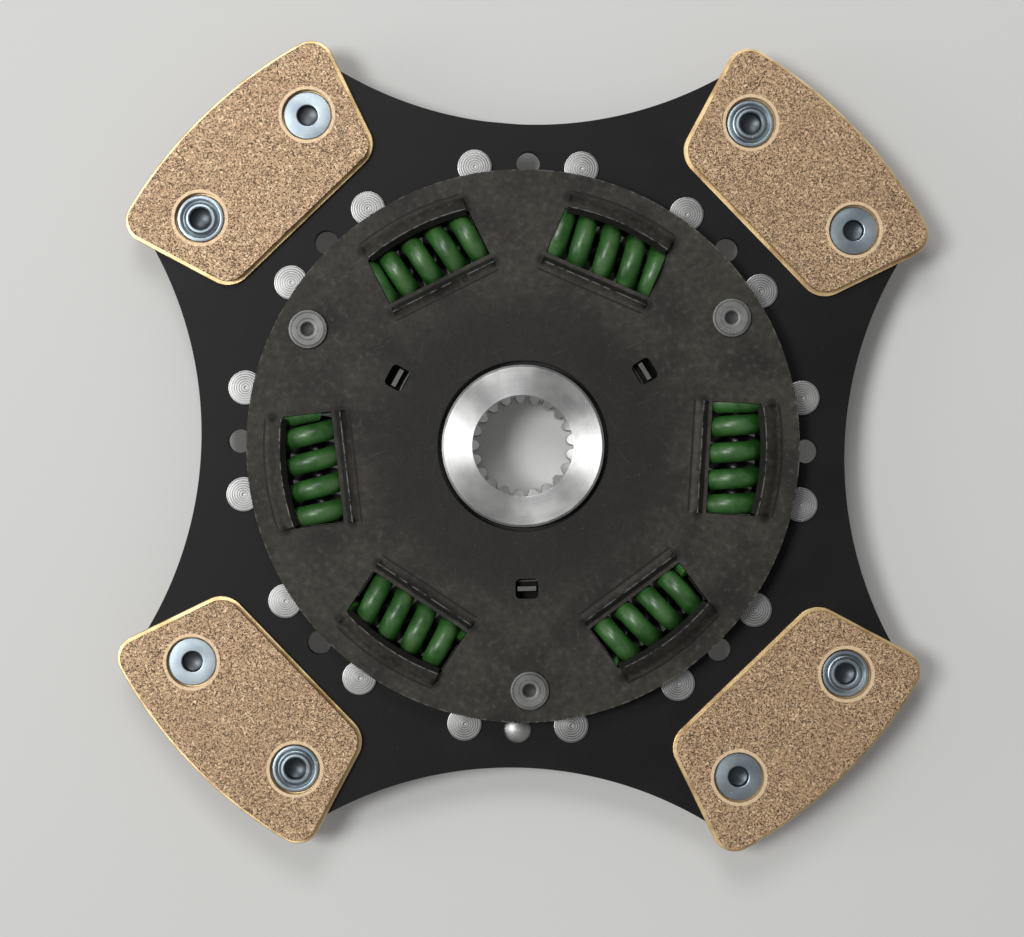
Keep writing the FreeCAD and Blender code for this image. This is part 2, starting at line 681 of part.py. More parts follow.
def round_corners(body, feature, name, radius, count, outer=True):
    """Fillets on the upright edges that lie farthest from the disc's axis, or nearest to it."""
    doc.recompute()
    upright = []
    for number, edge in enumerate(feature.Shape.Edges, start=1):
        ends = [vertex.Point for vertex in edge.Vertexes]
        if len(ends) == 2 and abs(ends[0].z - ends[1].z) > 0.9 * edge.Length:
            upright.append((math.hypot(ends[0].x, ends[0].y), f"Edge{number}"))
    chosen = sorted(upright, reverse=outer)[:count]
    fillet = body.newObject("PartDesign::Fillet", name)
    fillet.Base = (feature, [edge for _, edge in chosen])
    fillet.setExpression("Radius", bound(radius))
    return fillet


def make_pad_layer(label, turn, base, thickness, rim, hole):
    """One layer of a pad, the backing plate or the friction material, with its two rivet holes."""
    body = new_body(label, turn)
    face = sketch_on(body, "XY_Plane", "pad_sketch", place=("0", "0", base))
    pad_outline(face, rim)
    layer = pad(body, face, "layer", thickness)
    layer = round_corners(body, layer, "inner_corners", f"pad_inner_corner - {rim}", 2, outer=False)
    round_corners(body, layer, "outer_corners", f"pad_outer_corner - {rim}", 2)
    holes = sketch_on(body, "XY_Plane", "hole_sketch")
    for sign in ("", "-"):
        x = "pad_rivet_circle * cos(pad_rivet_spread * 1deg)"
        circle(holes, hole, x, f"{sign}pad_rivet_circle * sin(pad_rivet_spread * 1deg)")
    pocket(body, holes, "rivet_holes")
    return body


def make_pads():
    """Backing plates and friction material above and below each arm of the spider."""
    layers = []
    for number in range(int(size("pad_count"))):
        turn = f"pad_angle + {number} * 360 / pad_count"
        shank, clear = "pad_rivet_shank + hole_gap", "pad_rivet_head + counterbore_gap"
        for side, backing, friction in (
            ("top", "spider_top", "backing_top"),
            ("bottom", "backing_base", "backing_base - friction_thickness"),
        ):
            layers.append(make_pad_layer(f"backing_plate_{side}_{number + 1}", turn, backing,
                                         "backing_thickness", "0", shank))
            layers.append(make_pad_layer(f"friction_pad_{side}_{number + 1}", turn, friction,
                                         "friction_thickness", "backing_rim", clear))
    return layers


def make_all():
    """Every sub-part of the disc, from the hub outwards."""
    parts = [
        make_hub(),
        make_centring_bush(),
        make_ring("lower_friction_washer", "bush_collar + ring_gap", "lower_washer_radius",
                  "drive_top", "flange_base"),
        make_ring("upper_friction_washer", "boss_radius + ring_gap", "upper_washer_radius",
                  "land_height", "thrust_base"),
        make_thrust_ring(),
        make_disc_spring(),
        make_drive_plate(),
        make_cover_plate(),
        make_spider(),
        make_ring_rivets(),
        make_pad_rivets("pad_rivets_head_up", "pad_angle - pad_rivet_spread", True),
        make_pad_rivets("pad_rivets_head_down", "pad_angle + pad_rivet_spread", False),
        make_balance_rivet(),
    ]
    for number in range(int(size("pin_count"))):
        pin = f"pin_angle + {number} * 360 / pin_count"
        parts.append(make_stop_pin(number + 1, pin))
        parts.append(make_damper_spring(2 * number + 1, f"{pin} - spring_offset"))
        parts.append(make_damper_spring(2 * number + 2, f"{pin} + spring_offset"))
    return parts + make_pads()


def check(parts):
    """Stop on a failed object, on a cut that removes nothing and on a sub-part that isn't a sound solid."""
    for item in doc.Objects:
        if {"Invalid", "Error"} & set(item.State):
            raise RuntimeError(f"{item.Label} failed: {item.State}")
        if item.TypeId in ("PartDesign::Pocket", "PartDesign::Groove"):
            if item.BaseFeature.Shape.Volume - item.Shape.Volume < 1e-3:
                raise RuntimeError(f"{item.Label} cuts nothing")
    for part in parts:
        if part.Shape.isNull() or not part.Shape.isValid() or not part.Shape.Solids:
            raise RuntimeError(f"{part.Label} isn't a sound solid")


parts = make_all()
doc.recompute()
check(parts)
os.makedirs("parts", exist_ok=True)
for part in parts:
    part.Shape.exportStep(f"parts/{part.Label}.step")
    print(f"{part.Label}: {len(part.Shape.Solids)} solids, {part.Shape.Volume:.0f} mm3")
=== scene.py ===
"""The looks of a sprung clutch disc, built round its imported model. Lengths in the classes are millimetres."""
import logging
import math
from dataclasses import dataclass
from enum import Enum

import bmesh
import bpy
from mathutils import Matrix, Vector


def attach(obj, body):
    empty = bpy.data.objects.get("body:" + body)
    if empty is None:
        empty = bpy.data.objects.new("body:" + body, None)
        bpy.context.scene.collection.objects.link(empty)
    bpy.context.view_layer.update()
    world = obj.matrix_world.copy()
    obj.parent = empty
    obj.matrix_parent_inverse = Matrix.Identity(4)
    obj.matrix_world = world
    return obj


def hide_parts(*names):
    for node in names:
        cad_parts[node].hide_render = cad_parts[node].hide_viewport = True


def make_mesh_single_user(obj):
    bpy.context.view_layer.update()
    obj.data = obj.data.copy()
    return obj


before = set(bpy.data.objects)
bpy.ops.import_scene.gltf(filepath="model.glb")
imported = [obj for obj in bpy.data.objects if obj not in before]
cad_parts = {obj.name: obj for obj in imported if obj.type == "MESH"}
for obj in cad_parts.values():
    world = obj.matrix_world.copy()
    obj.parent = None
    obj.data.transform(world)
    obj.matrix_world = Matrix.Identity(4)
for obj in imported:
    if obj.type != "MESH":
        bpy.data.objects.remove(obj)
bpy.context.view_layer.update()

MM = 0.001
MERGE = 1e-6
NEAR = 0.03 * MM
FLAT = math.radians(0.8)
SHARP = math.radians(32)
OWN = "own"
Colour = tuple[float, float, float]
Profile = list[tuple[float, float]]


class Body(Enum):
    """The bodies that a piece can move with."""

    HUB = "hub"
    PLATES = "plates"
    SPRINGS = "springs"


class Slot(Enum):
    """The record's material slots."""

    MACHINED = "machined_steel"
    BARE = "bare_steel"
    RIVET = "rivet_steel"
    PHOSPHATED = "phosphated_steel"
    BLACK = "black_spring_steel"
    GREEN = "green_spring"
    SINTERED = "sintered_facing"
    COPPERED = "coppered_steel"
    BUSH = "bush_polymer"
    FIBRE = "washer_fibre"


class Graph:
    """The node tree of one material, with short ways to add what the finishes need."""

    def __init__(self, name: str) -> None:
        """Starts a material with its shader and Object coordinates.

        Args:
            name: The material's name.
        """
        self.material = bpy.data.materials.new(name)
        self.material.use_nodes = True
        self.tree = self.material.node_tree
        self.shader = self.tree.nodes["Principled BSDF"]
        self.place = self.add("ShaderNodeTexCoord").outputs["Object"]

    def add(self, kind: str, **settings: object) -> bpy.types.Node:
        """Adds a node.

        Args:
            kind: The node's type.
            settings: Properties to set on it.

        Returns:
            The new node.
        """
        node = self.tree.nodes.new(kind)
        for key, value in settings.items():
            setattr(node, key, value)
        return node

    def feed(self, target: bpy.types.NodeSocket, source: object) -> None:
        """Links a socket, or sets its value.

        Args:
            target: The input.
            source: An output to link, or a plain value.
        """
        if isinstance(source, bpy.types.NodeSocket):
            self.tree.links.new(source, target)
        else:
            target.default_value = source

    def own(self) -> bpy.types.NodeSocket:
        """The place on the piece's own axis, which its mesh carries."""
        return self.add("ShaderNodeAttribute", attribute_name=OWN).outputs["Vector"]

    def calc(self, operation: str, first: object, second: object = 0.0) -> bpy.types.NodeSocket:
        """Reckons with one or two numbers.

        Args:
            operation: The maths node's operation.
            first: The first number.
            second: The second number, where the operation takes one.

        Returns:
            The result.
        """
        node = self.add("ShaderNodeMath", operation=operation)
        self.feed(node.inputs[0], first)
        self.feed(node.inputs[1], second)
        return node.outputs[0]

    def noise(self, place: object, scale: float, detail: float = 3.0) -> bpy.types.NodeSocket:
        """Cloudy noise from 0 to 1.

        Args:
            place: The coordinates.
            scale: Waves to the metre.
            detail: Finer layers.

        Returns:
            The noise.
        """
        node = self.add("ShaderNodeTexNoise")
        self.feed(node.inputs["Vector"], place)
        node.inputs["Scale"].default_value = scale
        node.inputs["Detail"].default_value = detail
        return node.outputs[0]

    def grains(self, place: object, scale: float) -> bpy.types.NodeSocket:
        """A random number for each grain of a packed mass.

        Args:
            place: The coordinates.
            scale: Grains to the metre.

        Returns:
            The grain's number from 0 to 1.
        """
        node = self.add("ShaderNodeTexVoronoi")
        self.feed(node.inputs["Vector"], place)
        node.inputs["Scale"].default_value = scale
        split = self.add("ShaderNodeSeparateColor")
        self.feed(split.inputs[0], node.outputs["Color"])
        return split.outputs[0]

    def stretched(self, place: object, scale: Colour, turn: float = 0.0) -> bpy.types.NodeSocket:
        """Coordinates drawn out along one direction, for scratches.

        Args:
            place: The coordinates.
            scale: How far the pattern is drawn out along x, y and z.
            turn: Turn about z in degrees.

        Returns:
            The changed coordinates.
        """
        node = self.add("ShaderNodeMapping", vector_type="TEXTURE")
        self.feed(node.inputs["Vector"], place)
        node.inputs["Rotation"].default_value = (0, 0, math.radians(turn))
        node.inputs["Scale"].default_value = scale
        return node.outputs[0]

    def parts(self, place: object) -> list[bpy.types.NodeSocket]:
        """The x, y and z of a place, in millimetres."""
        split = self.add("ShaderNodeSeparateXYZ")
        self.feed(split.inputs[0], place)
        return [self.calc("MULTIPLY", output, 1 / MM) for output in split.outputs]

    def reach(self, first: object, second: object) -> bpy.types.NodeSocket:
        """The length of the hypotenuse over two lengths."""
        squares = [self.calc("MULTIPLY", length, length) for length in (first, second)]
        return self.calc("SQRT", self.calc("ADD", *squares))

    def radius(self, place: object) -> bpy.types.NodeSocket:
        """The distance from the z axis, in millimetres."""
        return self.reach(*self.parts(place)[:2])

    def folded(self, first: float, half: float, offset: float) -> tuple[bpy.types.NodeSocket, ...]:
        """The place as the nearest of several like features round the axis sees it.

        Args:
            first: Direction of the first mirror line in degrees.
            half: Half the angle from one mirror line to the next.
            offset: Angle from a mirror line to the feature on each side.

        Returns:
            The distance from the disc's axis along the feature's middle line, and the distance from that line.
        """
        x, y, _ = self.parts(self.place)
        angle = self.calc("MULTIPLY", self.calc("ARCTAN2", y, x), 180 / math.pi)
        near = self.calc("PINGPONG", self.calc("SUBTRACT", angle, first), half)
        away = self.calc("MULTIPLY", self.calc("SUBTRACT", near, offset), math.pi / 180)
        radius = self.reach(x, y)
        across = self.calc("MULTIPLY", radius, self.calc("COSINE", away))
        return across, self.calc("ABSOLUTE", self.calc("MULTIPLY", radius, self.calc("SINE", away)))

    def band(self, value: object, low: float, high: float) -> bpy.types.NodeSocket:
        """Rises smoothly from 0 to 1 between two values, or falls if low is the higher.

        Args:
            value: What is measured.
            low: The value that gives 0.
            high: The value that gives 1.

        Returns:
            The share from 0 to 1.
        """
        node = self.add("ShaderNodeMapRange", interpolation_type="SMOOTHSTEP")
        self.feed(node.inputs["Value"], value)
        rising = low < high
        node.inputs["From Min"].default_value = min(low, high)
        node.inputs["From Max"].default_value = max(low, high)
        node.inputs["To Min"].default_value = 0.0 if rising else 1.0
        node.inputs["To Max"].default_value = 1.0 if rising else 0.0
        return node.outputs["Result"]

    def ramp(self, value: object, stops: list[tuple[float, Colour]]) -> bpy.types.NodeSocket:
        """Colours along a value.

        Args:
            value: The value from 0 to 1.
            stops: Positions and colours.

        Returns:
            The colour.
        """
        node = self.add("ShaderNodeValToRGB")
        self.feed(node.inputs[0], value)
        marks = node.color_ramp.elements
        while len(marks) < len(stops):
            marks.new(0.5)
        for mark, (position, colour) in zip(marks, stops):
            mark.position = position
            mark.color = (*colour, 1)
        return node.outputs[0]

    def mix(self, share: object, first: object, second: object) -> bpy.types.NodeSocket:
        """Two colours mixed by a share of the second."""
        node = self.add("ShaderNodeMix", data_type="RGBA")
        self.feed(node.inputs[0], share)
        for socket, colour in ((node.inputs[6], first), (node.inputs[7], second)):
            self.feed(socket, (*colour, 1) if isinstance(colour, tuple) else colour)
        return node.outputs[2]

    def relief(self, height: object, depth: float, before: object = None) -> bpy.types.NodeSocket:
        """A bump.

        Args:
            height: The height from 0 to 1.
            depth: Its depth in millimetres.
            before: A bump that this one is added to.

        Returns:
            The normal.
        """
        node = self.add("ShaderNodeBump")
        node.inputs["Distance"].default_value = depth * MM
        self.feed(node.inputs["Height"], height)
        if before is not None:
            self.feed(node.inputs["Normal"], before)
        return node.outputs[0]

    def set(self, **sockets: object) -> None:
        """Feeds the shader's sockets, named with underscores for spaces."""
        for name, source in sockets.items():
            colour = isinstance(source, tuple)
            self.feed(self.shader.inputs[name.replace("_", " ")], (*source, 1) if colour else source)


@dataclass(frozen=True)
class Finish:
    """A surface finish."""

    name: str

    def material(self) -> bpy.types.Material:
        """The finish's material, made once."""
        found = bpy.data.materials.get(self.name)
        if found:
            return found
        graph = Graph(self.name)
        self.paint(graph)
        return graph.material

    def paint(self, graph: Graph) -> None:
        """Lays the finish on a graph. Each finish has its own."""
        raise NotImplementedError


@dataclass(frozen=True)
class TurnedSteel(Finish):
    """Bare steel off the lathe, with its grooves round the disc's axis or the piece's own.

    Attributes:
        colour: The steel.
        shade: Its duller clouds and the grooves' floors.
        roughness: How matt it is.
        grain: How far the grooves draw a highlight out.
        own_axis: Whether the grooves run round the piece's own axis.
        groove: Width of the uneven streaks.
        rings: Contrast of the grooves.
        clouds: Share of the clouds.
        pitch: Feed of regular tool marks, or 0 for none.
        hollow: Radius of a hollow in the middle that is painted dark as painted shade, or 0 for none.
    """

    colour: Colour = (0.55, 0.55, 0.54)
    shade: Colour = (0.39, 0.39, 0.39)
    roughness: float = 0.36
    grain: float = 0.85
    own_axis: bool = False
    groove: float = 0.35
    rings: float = 0.35
    clouds: float = 1.0
    pitch: float = 0.0
    hollow: float = 0.0

    def paint(self, graph: Graph) -> None:
        """Streaks along the turning grooves, with a highlight drawn out across them."""
        place = graph.own() if self.own_axis else graph.place
        radius = graph.radius(place)
        rings = graph.add("ShaderNodeTexNoise", noise_dimensions="1D")
        graph.feed(rings.inputs["W"], radius)
        rings.inputs["Scale"].default_value = 1 / self.groove
        rings.inputs["Detail"].default_value = 4
        cloud = graph.noise(place, 160, 4)
        nicks = graph.band(graph.noise(place, 900, 2), 0.74, 0.78)
        marks = rings.outputs[0]
        if self.pitch:
            phase = graph.calc("ADD", graph.calc("MULTIPLY", radius, math.tau / self.pitch), marks)
            marks = graph.calc("ADD", graph.calc("MULTIPLY", graph.calc("SINE", phase), 0.3), 0.5)
        patches = graph.calc("MULTIPLY", graph.band(cloud, 0.35, 0.7), self.clouds)
        tone = graph.mix(patches, self.shade, self.colour)
        tone = graph.mix(graph.calc("MULTIPLY", graph.band(marks, 0.36, 0.62), self.rings), tone, self.colour)
        # Painted shade: the hollow in the middle of a rivet, or a pin's dimple, is painted near black.
        if self.hollow:
            inside = graph.band(radius, self.hollow + 0.15, self.hollow - 0.15)
            tone = graph.mix(graph.calc("MULTIPLY", inside, 0.85), tone, (0.02, 0.02, 0.021))
        graph.set(
            Base_Color=graph.mix(graph.calc("MULTIPLY", nicks, 0.5), tone, (0.85, 0.85, 0.84)),
            Metallic=1.0,
            Roughness=graph.calc("ADD", graph.calc("MULTIPLY", cloud, 0.12), self.roughness - 0.06),
            Anisotropic=self.grain,
            Anisotropic_Rotation=0.25,
            Tangent=self.round_tangent(graph, place),
            Normal=graph.relief(nicks, 0.03, graph.relief(rings.outputs[0], 0.012)),
        )

    def round_tangent(self, graph: Graph, place: bpy.types.NodeSocket) -> bpy.types.NodeSocket:
        """The direction of the grooves at each point."""
        split, joined = graph.add("ShaderNodeSeparateXYZ"), graph.add("ShaderNodeCombineXYZ")
        graph.feed(split.inputs[0], place)
        graph.feed(joined.inputs[0], graph.calc("MULTIPLY", split.outputs[1], -1.0))
        graph.feed(joined.inputs[1], split.outputs[0])
        turned = graph.add("ShaderNodeVectorTransform", vector_type="VECTOR", convert_from="OBJECT", convert_to="WORLD")
        graph.feed(turned.inputs[0], joined.outputs[0])
        return turned.outputs[0]


@dataclass(frozen=True)
class PhosphateSteel(Finish):
    """Dark phosphated sheet with formed lips: mottled and faintly scratched, with painted shade in the lips' creases
    and on their cut faces, and a bright line along the lips' edges that is worn bare metal and painted highlight.

    Attributes:
        colour: The sheet.
        dark: Its darker clouds; the creases and cut faces are painted darker still, as painted shade.
        speck: Specks and scratches.
        worn: Bare metal along an edge, also a painted highlight.
        middle: Height of the springs' axes.
        inner_crest: How far an inner lip rises from that height.
        outer_crest: The same of an outer lip.
        first_pin: Direction of the first stop pin.
        offset: Angle from a pin to the window on each side.
    """

    colour: Colour = (0.0340, 0.0315, 0.0245)
    dark: Colour = (0.0110, 0.0100, 0.0092)
    speck: Colour = (0.11, 0.11, 0.10)
    worn: Colour = (0.20, 0.19, 0.195)
    middle: float = 15.7
    inner_crest: float = 6.95
    outer_crest: float = 9.16
    first_pin: float = 32.6
    offset: float = 35.0

    def paint(self, graph: Graph) -> None:
        """Mottle and scratches, darker near the hub where oil stands, with painted shade at the bore's edge and on the
        lips.
        """
        cloud = graph.noise(graph.place, 75, 5)
        mottle = graph.noise(graph.place, 620, 4)
        fine = graph.noise(graph.place, 1500, 3)
        radius = graph.radius(graph.place)
        tone = graph.mix(graph.band(cloud, 0.22, 0.62), self.dark, self.colour)
        tone = graph.mix(graph.calc("MULTIPLY", graph.band(mottle, 0.52, 0.34), 0.45), tone, self.dark)
        tone = graph.mix(graph.calc("MULTIPLY", graph.band(mottle, 0.54, 0.72), 0.20), tone, self.speck)
        tone = graph.mix(graph.calc("MULTIPLY", graph.band(radius, 46.0, 31.0), 0.85), tone, self.dark)
        tone = graph.mix(graph.calc("MULTIPLY", graph.band(fine, 0.64, 0.78), 0.4), tone, self.speck)
        for turn, share in ((24, 0.20), (-51, 0.16), (83, 0.14)):
            streak = graph.noise(graph.stretched(graph.place, (36, 1, 1), turn), 2600, 1)
            tone = graph.mix(graph.calc("MULTIPLY", graph.band(streak, 0.73, 0.78), share), tone, self.speck)
        rubbed = graph.calc("MULTIPLY", graph.band(graph.calc("ABSOLUTE", graph.calc("SUBTRACT", radius, 71.4)), 0.25, 0.1),
                            graph.band(mottle, 0.48, 0.60))
        tone = graph.mix(graph.calc("MULTIPLY", rubbed, 0.6), tone, self.speck)
        # Painted shade: the bore's edge round the hub is painted near black, for the gap there that lies in shade.
        tone = graph.mix(graph.calc("MULTIPLY", graph.band(radius, 22.35, 22.1), 0.9), tone, (0.002, 0.002, 0.002))
        tone, bare = self.lips(graph, tone)
        graph.set(
            Base_Color=tone,
            Metallic=bare,
            Roughness=graph.calc("ADD", graph.calc("MULTIPLY", fine, 0.25), 0.46),
            Specular_IOR_Level=0.2,
            Normal=graph.relief(fine, 0.02, graph.relief(mottle, 0.04)),
        )

    def lips(self, graph: Graph, tone: bpy.types.NodeSocket) -> tuple[bpy.types.NodeSocket, ...]:
        """Painted shade in the lips' creases and on their cut faces, and the bright line along their highest edges,
        which is worn bare metal and painted highlight.

        Args:
            graph: The material's graph.
            tone: The sheet's colour so far.

        Returns:
            The colour, and the share of bare metal along the worn and highlighted line.
        """
        across, along = graph.folded(self.first_pin, 60.0, self.offset)
        x, y, z = graph.parts(graph.place)
        radius = graph.reach(x, y)
        rise = graph.calc("ABSOLUTE", graph.calc("SUBTRACT", z, self.middle))
        outer = graph.band(across, 53.0, 56.0)

        # Painted shade: near black in the creases at the foot of each lip and at the ends of each window.
        inner_fold = graph.band(graph.calc("ABSOLUTE", graph.calc("SUBTRACT", across, 43.6)), 0.4, 0.12)
        outer_fold = graph.band(graph.calc("ABSOLUTE", graph.calc("SUBTRACT", radius, 66.9)), 0.45, 0.12)
        crease_shade = graph.calc("MULTIPLY", graph.calc("MAXIMUM", inner_fold, outer_fold), graph.band(along, 15.2, 14.2))
        for place in ((46.0, 14.8), (63.5, 14.8)):
            off = graph.reach(graph.calc("SUBTRACT", across, place[0]), graph.calc("SUBTRACT", along, place[1]))
            crease_shade = graph.calc("MAXIMUM", crease_shade, graph.band(off, 2.0, 0.6))
        tone = graph.mix(graph.calc("MULTIPLY", crease_shade, 0.8), tone, (0.003, 0.003, 0.003))

        # Painted shade: the lips' cut faces that turn towards the springs are painted near black.
        turned = graph.add("ShaderNodeVectorTransform", vector_type="NORMAL", convert_from="WORLD", convert_to="OBJECT")
        graph.feed(turned.inputs[0], graph.add("ShaderNodeNewGeometry").outputs["Normal"])
        normal = graph.add("ShaderNodeSeparateXYZ")
        graph.feed(normal.inputs[0], turned.outputs[0])
        outwards = graph.calc("DIVIDE", graph.calc("ADD", graph.calc("MULTIPLY", normal.outputs[0], x),
                                                   graph.calc("MULTIPLY", normal.outputs[1], y)), radius)
        side = graph.calc("SUBTRACT", 1.0, graph.calc("MULTIPLY", outer, 2.0))
        cut = graph.calc("MULTIPLY", graph.band(graph.calc("MULTIPLY", outwards, side), 0.15, 0.4),
                         graph.band(rise, 5.85, 6.1))
        tone = graph.mix(graph.calc("MULTIPLY", cut, 0.8), tone, (0.006, 0.006, 0.006))

        # Worn bare metal and painted highlight: a bright, half-metallic line along each lip's highest edge.
        crest = graph.calc("ADD", self.inner_crest, graph.calc("MULTIPLY", outer, self.outer_crest - self.inner_crest))
        edge = graph.band(graph.calc("SUBTRACT", rise, crest), -0.22, -0.06)
        broken = graph.band(graph.noise(graph.place, 520, 3), 0.38, 0.60)
        bare = graph.calc("MULTIPLY", edge, broken)
        return graph.mix(bare, tone, self.worn), graph.calc("MULTIPLY", bare, 0.5)


@dataclass(frozen=True)
class BlackSatin(Finish):
    """The smooth black sheet of the spider."""

    colour: Colour = (0.0054, 0.0050, 0.0055)
    pale: Colour = (0.0083, 0.0078, 0.0083)

    def paint(self, graph: Graph) -> None:
        """A faint mottle with a soft sheen."""
        cloud = graph.noise(graph.place, 55, 4)
        fine = graph.noise(graph.place, 1100, 2)
        tone = graph.mix(graph.band(cloud, 0.35, 0.75), self.colour, self.pale)
        tone = graph.mix(graph.calc("MULTIPLY", graph.band(fine, 0.68, 0.80), 0.2), tone, (0.06, 0.06, 0.06))
        graph.set(
            Base_Color=tone,
            Roughness=graph.calc("ADD", graph.calc("MULTIPLY", cloud, 0.2), 0.38),
            Specular_IOR_Level=0.14,
            Normal=graph.relief(fine, 0.006),
        )


@dataclass(frozen=True)
class GreenPaint(Finish):
    """Green marking paint on spring wire, dusty on the outside of the coils, with the inner side of the wire painted
    black as painted shade.
    """

    colour: Colour = (0.0235, 0.098, 0.0165)
    deep: Colour = (0.0115, 0.057, 0.0080)
    dusty: Colour = (0.078, 0.140, 0.058)
    inside: Colour = (0.0022, 0.0028, 0.0020)

    def paint(self, graph: Graph) -> None:
        """Paint on the outer half of the wire, with a faint bloom and fine dark pits; the inner half is painted shade.
        """
        x, _, z = graph.parts(graph.own())
        reach = graph.reach(x, z)
        cloud = graph.noise(graph.place, 170, 4)
        fine = graph.noise(graph.place, 1300, 3)
        tone = graph.mix(graph.band(cloud, 0.3, 0.62), self.deep, self.colour)
        bloom = graph.calc("MULTIPLY", graph.band(reach, 7.5, 8.25), graph.band(cloud, 0.34, 0.66))
        tone = graph.mix(graph.calc("MULTIPLY", bloom, 0.55), tone, self.dusty)
        tone = graph.mix(graph.calc("MULTIPLY", graph.band(fine, 0.40, 0.28), 0.6), tone, self.deep)
        # Painted shade: the wire's inner half, towards the spring's axis, is painted near black.
        graph.set(
            Base_Color=graph.mix(graph.band(reach, 6.3, 4.9), tone, self.inside),
            Roughness=graph.calc("ADD", graph.calc("MULTIPLY", fine, 0.2), 0.26),
            Normal=graph.relief(fine, 0.02, graph.relief(cloud, 0.03)),
        )


@dataclass(frozen=True)
class SinteredCopper(Finish):
    """Pressed and sintered copper powder with dark and pale grains.

    Attributes:
        base: Most of the grains.
        brown: The duller grains.
        dark: Flecks of graphite.
        pale: The brightest grains and the chamfers round the counterbores.
        grains: Grains to the metre.
        first_pad: Direction of the first pad.
        spread: Angle from a pad's middle to a rivet.
        circle: Distance of the rivets from the disc's axis.
        counterbore: Radius of the counterbores.
    """

    base: Colour = (0.496, 0.328, 0.188)
    brown: Colour = (0.240, 0.148, 0.084)
    dark: Colour = (0.040, 0.022, 0.011)
    pale: Colour = (0.80, 0.60, 0.38)
    grains: float = 2300.0
    first_pad: float = 45.0
    spread: float = 10.85
    circle: float = 102.8
    counterbore: float = 6.55

    def paint(self, graph: Graph) -> None:
        """Grains of under half a millimetre, dark flecks in drifts and a slow change of tone."""
        coarse = graph.grains(graph.place, self.grains)
        fine = graph.grains(graph.place, self.grains * 1.9)
        cloud = graph.noise(graph.place, 55, 4)
        drift = graph.noise(graph.place, 900, 3)
        tone = graph.ramp(coarse, [
            (0.0, self.brown),
            (0.35, self.base),
            (0.78, self.base),
            (1.0, self.pale),
        ])
        flecks = graph.calc("GREATER_THAN", fine, graph.calc("SUBTRACT", 1.06, graph.calc("MULTIPLY", drift, 0.70)))
        tone = graph.mix(graph.calc("MULTIPLY", flecks, 0.92), tone, self.dark)
        tone = graph.mix(graph.calc("MULTIPLY", graph.band(cloud, 0.35, 0.75), 0.22), tone, self.brown)
        across, along = graph.folded(self.first_pad, 45.0, self.spread)
        off = graph.reach(graph.calc("SUBTRACT", across, self.circle), along)
        chamfer = graph.band(graph.calc("ABSOLUTE", graph.calc("SUBTRACT", off, self.counterbore + 0.4)), 0.55, 0.35)
        tone = graph.mix(graph.calc("MULTIPLY", chamfer, 0.75), tone, self.pale)
        graph.set(
            Base_Color=tone,
            Metallic=0.35,
            Roughness=graph.calc("ADD", graph.calc("MULTIPLY", fine, 0.2), 0.40),
            Normal=graph.relief(fine, 0.04, graph.relief(coarse, 0.05)),
        )


@dataclass(frozen=True)
class PlatedSheet(Finish):
    """Thin sheet with a brass-coloured plating."""

    colour: Colour = (0.80, 0.60, 0.31)
    dull: Colour = (0.46, 0.31, 0.15)

    def paint(self, graph: Graph) -> None:
        """Bright plating with duller patches."""
        cloud = graph.noise(graph.place, 130, 4)
        fine = graph.noise(graph.place, 1300, 2)
        graph.set(
            Base_Color=graph.mix(graph.band(cloud, 0.42, 0.68), self.colour, self.dull),
            Metallic=0.9,
            Roughness=graph.calc("ADD", graph.calc("MULTIPLY", fine, 0.2), 0.3),
            Normal=graph.relief(fine, 0.02),
        )


@dataclass(frozen=True)
class Moulded(Finish):
    """A plain moulded or pressed material, grained and slightly uneven."""

    colour: Colour = (0.05, 0.04, 0.03)
    pale: Colour = (0.10, 0.08, 0.06)

    def paint(self, graph: Graph) -> None:
        """Fine grain over a slow mottle."""
        fine = graph.noise(graph.place, 1800, 3)
        tone = graph.mix(graph.band(graph.noise(graph.place, 200), 0.35, 0.7), self.colour, self.pale)
        graph.set(Base_Color=tone, Roughness=0.55, Normal=graph.relief(fine, 0.02))


@dataclass(frozen=True)
class ShadedSteel(Finish):
    """Steel painted near black as painted shade, with one narrow ring above a height painted paler as rubbed bare metal
    and painted light.

    Attributes:
        colour: The steel, painted near black as painted shade.
        bare: The rubbed ring, paler as painted light.
        height: The lowest place that is rubbed.
        inner: Inner radius of the ring.
        outer: Its outer radius.
    """

    colour: Colour = (0.0040, 0.0038, 0.0036)
    bare: Colour = (0.10, 0.10, 0.097)
    height: float = 20.6
    inner: float = 36.4
    outer: float = 37.6

    def paint(self, graph: Graph) -> None:
        """Painted shade over the steel, with the paler ring on it."""
        fine = graph.noise(graph.place, 1700, 3)
        radius = graph.radius(graph.place)
        ring = graph.calc("MULTIPLY", graph.band(radius, self.inner - 0.1, self.inner),
                          graph.band(radius, self.outer + 0.1, self.outer))
        ring = graph.calc("MULTIPLY", ring, graph.band(graph.parts(graph.place)[2], self.height, self.height + 0.1))
        ring = graph.calc("MULTIPLY", ring, graph.band(graph.noise(graph.place, 150, 1), -0.2, 0.5))
        graph.set(Base_Color=graph.mix(ring, self.colour, self.bare), Metallic=graph.calc("MULTIPLY", ring, 0.5),
                  Roughness=0.5, Specular_IOR_Level=0.1, Normal=graph.relief(fine, 0.006))


HUB_STEEL = TurnedSteel("turned_steel")
RIVET_STEEL = TurnedSteel("ring_rivet_steel", colour=(0.34, 0.34, 0.335), shade=(0.13, 0.13, 0.13), roughness=0.40,
                          grain=0.2, own_axis=True, groove=0.42, rings=0.9, clouds=0.5, pitch=0.62)
